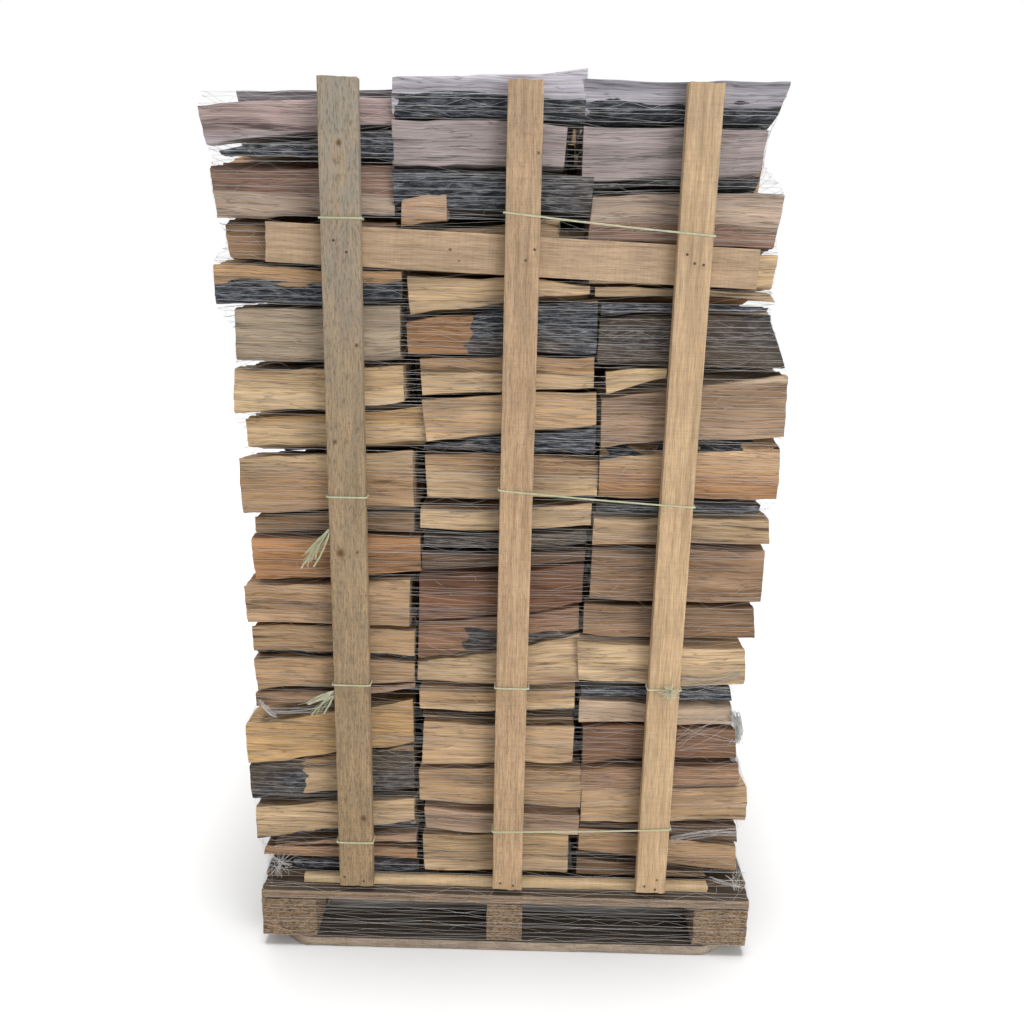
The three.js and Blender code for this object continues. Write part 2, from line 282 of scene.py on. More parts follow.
FRONT_LOGS = {
    "left": [
        ("bark_dark", 148, 172, 149, 174, -436, -440, -184, -184),
        ("rust", 177, 203, 177, 211, -504, -499, -186, -186),
        ("brown", 206, 208, 214, 252, -480, -482, -186, -186),
        ("tan", 209, 302, 258, 327, -517, -516, -186, -187),
        ("patched", 304, 393, 329, 446, -520, -523, -188, -190),
        ("honey", 397, 482, 450, 545, -522, -525, -190, -192),
        ("brown", 515, 549, 565, 577, -502, -503, -188, -188),
        ("dun", 553, 628, 580, 626, -496, -504, -188, -188),
        ("dun", 631, 692, 628, 695, -499, -500, -184, -184),
        ("rust", 695, 776, 699, 795, -507, -514, -193, -192),
        ("orange", 783, 868, 798, 876, -492, -496, -172, -174),
        ("umber", 876, 908, 879, 930, -487, -487, -184, -184),
        ("tan", 911, 1023, 933, 1047, -507, -511, -182, -186),
        ("honey", 1040, 1100, 1053, 1127, -492, -495, -166, -168),
        ("straw", 1103, 1191, 1131, 1203, -514, -510, -200, -202),
        ("drab", 1202, 1297, 1207, 1308, -505, -507, -207, -208),
        ("barked_below", 1299, 1373, 1311, 1361, -539, -540, -206, -206),
        ("brown", 1376, 1440, 1366, 1446, -507, -519, -214, -214),
        ("ruddy", 1443, 1533, 1449, 1541, -529, -541, -217, -217),
        ("bark", 1547, 1562, 1545, 1602, -510, -516, -217, -217),
        ("rosy", 1564, 1640, 1605, 1649, -538, -552, -214, -214),
    ],
    "middle": [
        ("straw", 152, 240, 152, 245, -168, -173, 128, 128),
        ("rosy_tan", 252, 310, 250, 303, -165, -168, 146, 146),
        ("dun", 313, 398, 306, 405, -174, -176, 148, 146),
        ("pale", 401, 500, 408, 497, -172, -168, 128, 130),
        ("umber", 503, 516, 500, 518, -170, -170, 126, 126),
        ("pale", 519, 566, 521, 576, -172, -176, 130, 130),
        ("tan", 578, 624, 584, 688, -180, -178, 134, 132),
        ("red_barked_right", 627, 704, 690, 744, -178, -176, 132, 132),
        ("red", 707, 798, 747, 834, -176, -175, 136, 138),
        ("umber_dark", 802, 846, 838, 861, -170, -170, 140, 140),
        ("bark_tan", 849, 882, 864, 898, -168, -168, 142, 142),
        ("tan", 886, 938, 901, 951, -175, -173, 147, 147),
        ("tan", 955, 1037, 958, 1037, -160, -166, 155, 156),
        ("bark", 1041, 1055, 1043, 1097, -165, -165, 150, 150),
        ("pale", 1057, 1138, 1100, 1165, -156, -168, 150, 147),
        ("tan", 1141, 1213, 1168, 1226, -166, -173, 144, 143),
        ("rust_barked_right", 1216, 1277, 1229, 1327, -192, -197, 142, 142),
        ("tan", 1281, 1357, 1330, 1351, -192, -198, 130, 130),
        ("tan", 1360, 1430, 1354, 1464, -203, -205, 73, 73),
        ("bark_dark", 1468, 1535, 1467, 1533, -215, -216, 122, 127),
        ("rosy_grey", 1538, 1615, 1536, 1609, -217, -217, 75, 79),
        ("grey_barked_below", 1618, 1680, 1612, 1702, -217, -217, 110, 113),
    ],
    "right": [
        ("umber", 150, 198, 149, 158, 148, 148, 416, 416),
        ("tan", 202, 268, 161, 231, 150, 150, 478, 473),
        ("umber_dark", 270, 275, 235, 280, 150, 150, 476, 470),
        ("pale", 277, 354, 284, 371, 150, 150, 486, 482),
        ("red_dark", 357, 405, 374, 424, 150, 150, 464, 458),
        ("red_dark", 408, 493, 427, 497, 150, 148, 456, 446),
        ("rosy_tan", 497, 547, 500, 543, 140, 140, 444, 439),
        ("bark_dark", 550, 575, 546, 586, 142, 142, 440, 434),
        ("straw", 586, 679, 590, 671, 138, 131, 457, 451),
        ("brown", 684, 751, 684, 752, 142, 142, 473, 467),
        ("brown_streaked", 756, 862, 757, 868, 152, 154, 479, 479),
        ("tan", 866, 921, 879, 929, 150, 152, 481, 480),
        ("bark", 926, 950, 934, 958, 158, 158, 456, 462),
        ("rust", 956, 1049, 962, 1077, 160, 160, 490, 486),
        ("drab_tan", 1055, 1149, 1080, 1196, 158, 155, 493, 488),
        ("bark_tan", 1206, 1293, 1199, 1301, 148, 150, 489, 449),
        ("bark", 1296, 1322, 1303, 1318, 148, 148, 441, 446),
        ("tan", 1325, 1350, 1320, 1342, 140, 140, 460, 449),
        ("tan", 1353, 1417, 1345, 1406, 126, 126, 450, 458),
        ("ruddy", 1420, 1506, 1411, 1510, 121, 128, 449, 463),
        ("bark", 1509, 1520, 1513, 1529, 124, 124, 408, 408),
        ("rosy_grey", 1523, 1613, 1532, 1605, 107, 107, 409, 420),
        ("grey_barked_below", 1616, 1684, 1608, 1681, 109, 108, 427, 451),
    ],
}

# Short logs that show in front of others: column, tier from 0, tone, and heights and ends as above.
SHORT_LOGS = [
    ("middle", 4, "rough_tan", 1433, 1484, 1448, 1500, -204, -203, -124, -125),
    ("right", 3, "pale", 1152, 1199, 1180, 1204, 166, 163, 272, 274),
]

# Heartwood and sapwood of each tone.
TONES = {
    "tan": ("#a88764", "#bfa27d"), "straw": ("#b2956f", "#c4a883"), "pale": ("#bb9b76", "#cfb289"),
    "honey": ("#bb9768", "#cfb087"), "orange": ("#a87c54", "#bd9269"), "rust": ("#a37b57", "#b79672"),
    "ruddy": ("#977969", "#b39d8a"), "rosy": ("#a28d88", "#b5a6a8"), "rosy_tan": ("#a98c73", "#bda48b"),
    "rosy_grey": ("#9c8f8d", "#b0a39d"), "grey": ("#8f8c93", "#a5a1a8"), "dun": ("#9a7655", "#ac8c68"),
    "drab": ("#8d7b65", "#a3917a"), "drab_tan": ("#9a7f66", "#b29b82"), "rough_tan": ("#987860", "#b49478"),
    "brown": ("#8a6d52", "#a3846a"), "brown_streaked": ("#93755a", "#ab8d6e"),
    "umber": ("#6e5742", "#876e54"), "umber_dark": ("#534135", "#695341"),
    "red": ("#7b5842", "#967359"), "red_dark": ("#7a5b45", "#937359"),
    "bark": ("#5c5650", "#6e6760"), "bark_dark": ("#4b4641", "#5c554f"),
}
# Fronts that are bark all over, the bark on part of some others (from and to along the log, and from and
# to up it, as shares), and those whose bark is brown.
ALL_BARK = ("bark", "bark_dark", "bark_tan")
BARK_PATCHES = {
    "patched": [(-0.1, 0.34, 0.05, 1.1), (0.74, 1.1, 0.1, 0.95)], "barked_below": [(-0.1, 1.1, -0.2, 0.52)],
    "grey_barked_below": [(0, 1, -0.2, 0.44)], "red_barked_right": [(0.3, 1.1, 0.0, 0.55)],
    "rust_barked_right": [(0.34, 1.1, -0.1, 0.9)],
}
BROWN_BARKED = ("bark_tan", "patched", "red_barked_right")

STACK_FRONT = -554.0
STACK_BACK = 554.0
SAW_KERF = 2.2        # half the gap between neighbouring logs, in millimetres
DECK_GAP = 2.0
SHORTEST_SIDE = 15.0  # a log's shorter sides close up
LARGEST_INSET = 16.0
CORNER_EASE = 3.0
LEFT_END, RIGHT_END = 0, 1

tier_nodes = {c: [f"log_tier_{c}_{i}" for i in range(1, 7)] for c in FRONT_LOGS}
deck_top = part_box("deck_board_1")[1][2] / MM


def tone_of(name):
    """The colours of a front log's tone; bark words in it say where the bark is."""
    keys = (name, name.split("_barked")[0], name.split("_")[0], "tan")
    return [np.array(linear(c)) for c in TONES[next(key for key in keys if key in TONES)]]


def row_heights(row, end):
    """The low and high edge of a row's log at one of its ends."""
    return row[1 + 2 * end], row[2 + 2 * end]


def course_edges(column, rows, rng):
    """For each course of a column, its low and high edge at both ends, as heights along y.
    They start at the front logs' heights and settle to a spacing of their own further in."""
    y = np.arange(STACK_FRONT - 10, STACK_BACK + 11, 8.0)
    courses = len(rows)
    top = np.mean([rows[-1][2], rows[-1][4]]) + {"left": 46, "middle": 20, "right": 16}[column]
    wide = np.array([np.mean([r[2] - r[1], r[4] - r[3]]) for r in rows])
    even = (top - deck_top) / courses
    inside = smooth(y, STACK_FRONT + 60, STACK_FRONT + 420)
    at = np.zeros((len(y), 3))
    at[:, 0] = y
    heights = []
    for k in range(courses):
        own = even * np.exp(0.30 * rough(at + (0, 90.0 * k, 0), 210, seed=3))
        heights.append((1 - inside) * (0.6 * wide[k] + 0.4 * even) + inside * own)
    sums = np.vstack([np.zeros(len(y)), np.cumsum(heights, axis=0)])
    sums = deck_top + DECK_GAP + sums / sums[-1] * (top - deck_top - DECK_GAP)
    near = np.exp(-np.maximum(0, y - STACK_FRONT - 55) / 95)
    near_top = np.exp(-np.maximum(0, y - STACK_FRONT - 30) / 22)
    edges = []
    for k, row in enumerate(rows):
        is_last = k == courses - 1
        ends = []
        for end in (LEFT_END, RIGHT_END):
            lean = [(-1) ** end * 7 * rough(at + (0, 55.0 * (k + j), 300), 260, seed=5) for j in (0, 1)]
            if k == 0:
                lean[0] = 0 * y
            front_low, front_high = row_heights(row, end)
            low = near * front_low + (1 - near) * (sums[k] + lean[0])
            held = near_top if is_last else near
            high = held * front_high + (1 - held) * (sums[k + 1] + lean[1])
            if is_last:
                high = high + (1 - held) * 16 * rough(at + (0, 11.0, 90 * end), 95, seed=9)
            ends.append((low, high))
        edges.append(ends)
    return y, edges


def inset(corners, gap):
    """A convex outline with every side moved in by gap."""
    lines = []
    for a, b in zip(corners, np.roll(corners, -1, axis=0)):
        along = (b - a) / max(np.linalg.norm(b - a), 1e-6)
        lines.append((a + gap * np.array((-along[1], along[0])), along))
    moved = []
    for j, corner in enumerate(corners):
        (p, d), (q, e) = lines[j - 1], lines[j]
        cross = d[0] * e[1] - d[1] * e[0]
        if abs(cross) < 0.08:  # the two sides are nearly in line
            middle = 0.5 * (p + q)
            moved.append(middle + (corner - middle) * 0.9)
            continue
        t = ((q[0] - p[0]) * e[1] - (q[1] - p[1]) * e[0]) / cross
        away = p + t * d - corner
        moved.append(corner + away * min(1, LARGEST_INSET / max(np.linalg.norm(away), 1e-6)))
    return np.array(moved)


def bark_corners(corners, side, sag):
    """Draws the two corners of the bark side back along their other sides, so that its arc fits."""
    m = len(corners)
    out = corners.copy()
    for corner, other in ((side, (side - 1) % m), ((side + 1) % m, (side + 2) % m)):
        reach = corners[other] - corners[corner]
        length = max(np.linalg.norm(reach), 1e-6)
        out[corner] = corners[corner] + reach / length * min(sag, 0.4 * length)
    return out


def outline(corners, counts, bark_side, sag):
    """Points round a section, anticlockwise in (y, z), with eased corners and an arc on the bark side."""
    m = len(corners)
    points, on_bark = [], []
    for j in range(m):
        a, b = corners[j], corners[(j + 1) % m]
        length = max(np.linalg.norm(b - a), 1e-6)
        ease = min(CORNER_EASE, 0.3 * length) / length
        t = np.concatenate([[0, ease], np.linspace(ease, 1 - ease, counts[j] + 2)[1:-1], [1 - ease]])
        side = a + (b - a) * t[:, None]
        flag = np.zeros(len(t))
        if j == bark_side:
            outward = np.array((b[1] - a[1], a[0] - b[0])) / length
            side = side + outward * (sag * 4 * t * (1 - t))[:, None]
            flag[:] = 1
        if bark_side is not None and j in (bark_side, (bark_side + 1) % m):
            flag[0] = 0.5
        points.append(side)
        on_bark.append(flag)
    ring = np.concatenate(points)
    eased = ring.copy()
    for s in np.cumsum([0] + [len(p) for p in points[:-1]]):
        eased[s] = 0.5 * ring[s] + 0.25 * (ring[s - 1] + ring[s + 1])
    return eased, np.concatenate(on_bark)


# ---- Logs: their meshes -----------------------------------------------------------------------------
# How finely each kind of place in the stack is meshed: step round the seen sides, step round the others,
# stations along the log and rings on its ends; and where it is seen from, in (y, z).

DETAIL = {
    "front": dict(seen=3.3, hidden=15, stations=46, rings=(0.9, 0.6, 0.25), view=(-1, 0)),
    "back": dict(seen=4.2, hidden=16, stations=32, rings=(0.9, 0.6, 0.25), view=(1, 0)),
    "top": dict(seen=5.0, hidden=16, stations=26, rings=(0.85, 0.45), view=(0, 1)),
    "side": dict(seen=7.0, hidden=7.5, stations=5, rings=(0.88, 0.6, 0.3), view=(0, 0)),
    "core": dict(seen=16, hidden=18, stations=3, rings=(0.5,), view=(0, 0)),
}
MEAN_RELIEF = 1.2     # the height of the wood's face above the log's own surface, in millimetres
NO_BARK_GIRTH = 9000  # a log without bark has its rim beyond reach


class Batch:
    """Logs that become one piece: their points, faces and attributes, added log by log."""

    def __init__(self):
        self.arrays, self.count = {}, 0

    def keep(self, **arrays):
        for key, array in arrays.items():
            self.arrays.setdefault(key, []).append(array)

    def add_log(self, sections, on_bark, x_ends, log, rng):
        """Lofts one log between its left and right outline."""
        left, right = sections
        n, stations = len(left), log["stations"]
        s = np.linspace(0, 1, stations)[:, None, None]
        plan = left[None] * (1 - s) + right[None] * s + 4 * s * (1 - s) * np.array(log["bow"])
        dy = plan[..., 0] - 0.5 * (left.mean(0) + right.mean(0))[0]
        ends = []
        for x_low, x_high, slant, section in zip(*x_ends, log["slant"], sections):
            low, high = section[:, 1].min(), section[:, 1].max()
            rise = (plan[..., 1] - low) / max(high - low, 1)
            ends.append(x_low + (x_high - x_low) * np.clip(rise, -0.1, 1.1) + slant * dy)
        x = ends[0] * (1 - s[..., 0]) + ends[1] * s[..., 0]
        body = np.stack([x, plan[..., 0], plan[..., 1]], -1)
        tangent = np.roll(plan, -1, axis=1) - np.roll(plan, 1, axis=1)
        normal = np.stack([0 * x, tangent[..., 1], -tangent[..., 0]], -1)
        normal /= np.maximum(np.linalg.norm(normal, axis=2, keepdims=True), 1e-6)
        bark = self.shed_bark(np.broadcast_to(on_bark, (stations, n)), body, log)

        points, sawn, tris, total = [body.reshape(-1, 3)], [], [], stations * n
        for end in (LEFT_END, RIGHT_END):
            outward = np.array((1.0 if end == RIGHT_END else -1.0, 0, 0))

            def uneven(ring, outward=outward):
                return ring + outward * (0.5 * rough(ring + rng.uniform(0, 900), 9))[:, None]

            first = (stations - 1) * n * end
            made, quads, fan = close_end(body[-end], first, total, log["rings"], uneven, end == RIGHT_END)
            points, sawn, tris = points + made, sawn + quads, tris + fan
            total += sum(len(p) for p in made)

        points = np.concatenate(points)
        added = total - stations * n
        across = points[:, 1:] - log["pith"] - log["grain_slope"] * (points[:, :1] - x.mean())
        grain = np.column_stack([points[:, 0] + log["offset"], across])
        radius = np.hypot(*across.T)
        heart, sap = log["tone"]
        share = smooth(radius + 9 * rough(points, (120, 25, 25), seed=4), log["heart"] - 7, log["heart"] + 7)
        streak = rough(grain, (260, 22, 22), seed=6)
        tint = (heart + (sap - heart) * share[:, None]) * (1 + 0.16 * streak)[:, None]
        tint[:, 3] = 1
        stain = np.clip(0.5 * rough(points + log["offset"], (140, 40, 40), seed=8) + log["stain"], 0, 1)
        covers = np.concatenate([bark.ravel(), np.zeros(added)])
        self.keep(points=points, normals=np.concatenate([normal.reshape(-1, 3), np.zeros((added, 3))]),
                  grain=grain * MM, tint=tint, amount=np.full(total, log["relief"]),
                  cover=np.stack([covers, stain, np.full(total, log["girth"] * MM)], 1),
                  quads=side_faces(stations, n) + self.count, sawn=np.concatenate(sawn) + self.count,
                  tris=np.concatenate(tris) + self.count)
        self.count += total

    def shed_bark(self, bark, body, log):
        """Bark comes off in flakes, and it stays on in the patches that the log asks for."""
        flat = body.reshape(-1, 3)
        torn = rough(flat + log["offset"], (34, 13, 13), seed=2).reshape(bark.shape)
        kept = bark * smooth(torn + log["kept_bark"], -0.06, 0.06)
        streaky = rough(flat + log["offset"], (75, 6.5, 6.5), seed=7).reshape(bark.shape)
        low, high = flat.min(0), flat.max(0)
        length, height = high[0] - low[0], high[2] - low[2]
        u = (body[..., 0] - low[0]) / length
        v = (body[..., 2] - low[2]) / max(height, 1)
        in_front = body[..., 1] < low[1] + 40
        for u0, u1, v0, v1 in log["patches"]:
            far = np.maximum(np.maximum(u0 - u, u - u1) * length, np.maximum(v0 - v, v - v1) * height)
            kept = np.maximum(kept, smooth(-far + 8 * torn + 11 * streaky, -5, 5) * in_front)
        return kept

    def finish(self, name, material):
        """Gives the faces their relief, fibres on wood and plates on bark, and makes the piece."""
        made = {key: np.concatenate(arrays) for key, arrays in self.arrays.items()}
        local = made["grain"] / MM
        waves = 2.8 * rough(local, (170, 48, 48), seed=1)
        ledges = 2.2 * np.tanh(5 * rough(local, (190, 15, 15), seed=2))
        fibres = 0.8 * rough(local, (95, 6.5, 6.5), seed=3) + 0.35 * rough(local, (40, 3.4, 3.4), seed=4)
        plates = 2.6 * np.abs(rough(local, (38, 9, 9), seed=5)) + 1.0 * rough(local, (11, 5, 5), seed=6)
        bark = np.clip(made["cover"][:, 0], 0, 1)
        height = (1 - bark) * (waves + ledges + fibres) + bark * (MEAN_RELIEF + 0.6 * waves + plates)
        points = made["points"] + made["normals"] * ((height - MEAN_RELIEF) * made["amount"])[:, None]
        sway = 4.0 * rough(points, (100, 150, 130), seed=12) + 1.6 * rough(points, (34, 90, 70), seed=13)
        points[:, 2] += sway * smooth(points[:, 2], deck_top + 4, deck_top + 60)
        faces = [made["quads"], made["sawn"], made["tris"]]
        flags = np.concatenate([np.zeros(len(faces[0])), np.ones(len(faces[1]) + len(faces[2]))])
        values = {key: made[key] for key in ("grain", "tint", "cover")}
        return mesh_object(name, points * MM, faces, material, values, {"sawn": flags}, 38)


def choose_bark_side(outward, lengths, role, name, rng):
    """The side of a section that has bark, or None, and how far its arc stands out, with its radius."""
    m = len(lengths)
    if name in ALL_BARK:
        side = int(np.argmin(outward[:, 0]))
    elif role == "front":
        others = [j for j in range(m) if outward[j][0] > -0.5 and lengths[j] > 30]
        side = int(rng.choice(others)) if others and rng.random() < 0.16 else None
    else:
        weight = lengths * (lengths > 35)
        weight[outward[:, 1] > 0.5] *= 1.6 if role == "top" else 0.8
        side = int(rng.choice(m, p=weight / weight.sum())) if weight.sum() and rng.random() < 0.72 else None
    if side is None:
        return None, 0.0, None
    radius = rng.uniform(85, 150)
    return side, min(lengths[side] ** 2 / (8 * radius), 0.16 * lengths[side], 15), radius


def lay_log(batch, ends, x_ends, role, rng, tone, name=""):
    """Shapes one log from its corner points at both ends and adds it to a batch."""
    corners = [inset(np.array(c, float), SAW_KERF + rng.uniform(-0.6, 1.6)) for c in ends]
    average = 0.5 * (corners[0] + corners[1])
    after = np.roll(average, -1, axis=0)
    lengths = np.linalg.norm(after - average, axis=1)
    outward = np.stack([after[:, 1] - average[:, 1], average[:, 0] - after[:, 0]], 1)
    outward = outward / np.maximum(lengths, 1e-6)[:, None]
    bark_side, sag, radius = choose_bark_side(outward, lengths, role, name, rng)
    if bark_side is not None:
        corners = [bark_corners(c, bark_side, sag) for c in corners]
    detail = DETAIL[role]
    seen = [role == "side" or o @ np.array(detail["view"]) > 0.35 for o in outward]
    counts = [max(1, int(s / (detail["seen"] if is_seen else detail["hidden"])) - 1)
              for s, is_seen in zip(lengths, seen)]
    rings, flag = zip(*[outline(c, counts, bark_side, sag) for c in corners])
    if bark_side is not None:
        pith = 0.5 * (average[bark_side] + after[bark_side]) - outward[bark_side] * radius
        on = flag[0] > 0.7
        girth = float(np.mean(np.linalg.norm(0.5 * (rings[0] + rings[1])[on] - pith, axis=1)))
    else:
        middle = 0.5 * (rings[0].mean(0) + rings[1].mean(0))
        angle = rng.uniform(0, 2 * math.pi)
        pith = middle + rng.uniform(45, 150) * np.array((math.cos(angle), math.sin(angle)))
        girth = NO_BARK_GIRTH
    reach = min(max(np.linalg.norm(r - pith, axis=1)) for r in rings)
    log = {
        "stations": detail["stations"], "rings": detail["rings"], "pith": pith, "girth": girth,
        "tone": tone, "heart": reach * rng.uniform(0.55, 0.95), "offset": rng.uniform(0, 9000),
        "bow": rng.uniform(-2, 2, 2), "slant": rng.uniform(-0.07, 0.07, 2),
        "patches": BARK_PATCHES.get(name, []), "grain_slope": rng.uniform(-0.03, 0.03, 2),
        "stain": rng.uniform(-0.28, 0.12) + 0.45 * (name in BROWN_BARKED),
        "kept_bark": 0.9 if name in ALL_BARK else rng.uniform(0.15, 0.7),
        "relief": 1.0 if role != "core" else 0.3,
    }
    batch.add_log(rings, flag[0], x_ends, log, rng)


# How often each tone comes up inside the stack.
TONE_ODDS = {"tan": 16, "straw": 12, "pale": 14, "honey": 10, "orange": 8, "rust": 8, "ruddy": 8,
             "rosy_tan": 6, "dun": 10, "brown": 6, "red": 4, "grey": 4}


def random_tone(rng):
    odds = np.array(list(TONE_ODDS.values()), float)
    heart, sap = tone_of(rng.choice(list(TONE_ODDS), p=odds / odds.sum()))
    shade = rng.uniform(0.86, 1.1)
    return [heart * shade, sap * shade]


THIN_LOG = 42.0                       # thinner logs of the front lie before the courses, not in them
RAIL_SPANS = [(1330, 1450), (140, 178)]  # heights that the rails press flat
COLUMN_ENDS = {"left": (-506, -183), "middle": (-172, 140), "right": (150, 466)}
# The load leans outward towards its top: heights between which a column's ends shift, and how far at the
# left and at the right.
TOP = 2000
END_SHIFTS = {"left": [(1480, TOP, -18, -28)], "middle": [(1450, TOP, -28, -40)],
              "right": [(1450, TOP, -34, 0), (900, TOP, 0, 8), (420, 760, 0, -12), (1300, TOP, 0, -16)]}
COLUMN_SEEDS = {"left": 11, "middle": 22, "right": 33}
GREY_TOP_LOGS = 4                     # how many of the top logs, from the front, are greyed by weather
FACET_LEAN = 96.0                     # the height over which the leans of the sides are reckoned
STEEPEST_FRONT = 26.0                 # a first log whose inner side leans more than this is eased


def corner_points(ys, zs):
    return [np.array(p) for p in zip(ys, zs)]


def wedge(heights, ys, share=0.0, pinch=0.0):
    """The corners at both ends of a log that thins inwards: its low and high edges at the left and right,
    its four places along y, and how much it loses at its low and high edge."""
    ends = []
    for low, high in (heights[:2], heights[2:]):
        less = share * (high - low) + pinch
        ends.append(corner_points(ys, (low, low + less, high - less, high)))
    return ends


def inner_ends(column, z, rng):
    """x of a log's ends inside the stack, low and high."""
    low, high = COLUMN_ENDS[column]
    reach = [low + rng.uniform(-16, 24), high + rng.uniform(-24, 16)]
    shifts = [row[2:] for row in END_SHIFTS[column] if row[0] < z < row[1]]
    for end in (LEFT_END, RIGHT_END):
        reach[end] += sum(shift[end] for shift in shifts)
    return reach, [reach[0] + rng.uniform(-4, 4), reach[1] + rng.uniform(-4, 4)]


def fill_column(column, batches):
    """Lays a column's logs, front to back and from the deck up."""
    rng = np.random.default_rng(COLUMN_SEEDS[column])
    thin = [r for r in FRONT_LOGS[column] if 0.5 * (r[2] - r[1] + r[4] - r[3]) < THIN_LOG]
    courses = [r for r in FRONT_LOGS[column] if r not in thin]
    y, edges = course_edges(column, courses, rng)
    tier_tops = [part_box(node)[1][2] / MM for node in tier_nodes[column]]

    def batch_for(role, z):
        tier = min(int(np.searchsorted(tier_tops, z)), len(tier_tops) - 1)
        key = (column, tier, "side" if role in ("side", "core", "top") else role)
        return batches.setdefault(key, Batch())

    def proud(low, high):
        """How far a front or back face stands out: hardly at all behind a rail."""
        touches = any(low < b and high > a for a, b in RAIL_SPANS)
        return rng.uniform(0, 3) if touches else rng.uniform(3, 17)

    def front_span(row):
        return min(row[1], row[3]), max(row[2], row[4])

    def height(k, end, which, at):
        return float(np.interp(at, y, edges[k][end][which]))

    for k, row in enumerate(courses):
        is_top = k == len(courses) - 1
        n = int(rng.integers(10, 13))
        widths = rng.uniform(0.7, 1.35, n)
        cuts = np.concatenate([[0], np.cumsum(widths)]) / widths.sum()
        lines = STACK_FRONT + cuts * (STACK_BACK - STACK_FRONT)
        phase = int(rng.integers(2))
        leans = [(-1) ** (i + phase) * rng.uniform(0.1, 0.46) * FACET_LEAN for i in range(n + 1)]
        leans[0], leans[-1] = rng.uniform(-5, 5), rng.uniform(-9, 9)
        if abs(leans[1]) > STEEPEST_FRONT:
            leans[1] *= 0.6
        jitter = rng.uniform(-5, 5, (2, n + 1))
        jitter[:, 0] = -proud(*front_span(row))
        jitter[:, -1] = proud(height(k, 0, 0, STACK_BACK), height(k, 0, 1, STACK_BACK))
        for i in range(n):
            ends = []
            for end in (LEFT_END, RIGHT_END):
                at = [lines[j] + jitter[end][j] + sign * leans[j]
                      for j, sign in ((i, -1), (i + 1, -1), (i + 1, 1), (i, 1))]
                z = [height(k, end, which, a) for a, which in zip(at, (0, 0, 1, 1))]
                if i == 0:
                    z[0], z[3] = row_heights(row, end)
                    if is_top:
                        z[2] = min(z[2], z[3] + 6)
                ends.append(corner_points(at, z))
            ends = drop_short_sides(ends)
            z_middle = np.mean([p[1] for e in ends for p in e])
            if i == 0:
                role, name, tone, x_ends = "front", row[0], tone_of(row[0]), (row[5::2], row[6::2])
                if rng.random() < 0.45 and len(ends[0]) == 4:
                    ends = add_ridge(ends, rng)
            else:
                inner = "core" if column == "middle" else "side"
                role, name = "back" if i == n - 1 else "top" if is_top else inner, ""
                tone = random_tone(rng)
                if role == "top" and i < GREY_TOP_LOGS:
                    tone = tone_of("grey")
                x_ends = inner_ends(column, z_middle, rng)
            lay_log(batch_for(role, z_middle), ends, x_ends, role, rng, tone, name)

    for row in thin:
        depth = rng.uniform(60, 100)
        front = STACK_FRONT - proud(*front_span(row))
        ends = wedge(row[1:5], (front, front + depth, front + depth, front), share=0.25)
        lay_log(batch_for("front", 0.25 * sum(row[1:5])), ends, (row[5::2], row[6::2]), "front", rng,
                tone_of(row[0]), row[0])


def drop_short_sides(ends):
    """Merges two neighbouring corners where the side between them has nearly closed, at both ends."""
    j = 0
    while j < len(ends[0]) and len(ends[0]) > 3:
        if np.mean([np.linalg.norm(e[(j + 1) % len(e)] - e[j]) for e in ends]) >= SHORTEST_SIDE:
            j += 1
            continue
        for e in ends:
            other = (j + 1) % len(e)
            e[j] = 0.5 * (e[j] + e[other])
            e.pop(other)
        j = 0
    return ends


def add_ridge(ends, rng):
    """Gives a front face a low ridge along the grain, where two cleft faces meet."""
    share, stand = rng.uniform(0.25, 0.75), rng.uniform(3, 8)
    return [[*e, e[0] + (e[3] - e[0]) * share + np.array((-stand, 0))] for e in ends]


# ---- Logs: cleft hardwood -----------------------------------------------------------------------------

RING_SPACING = 0.0031  # metres


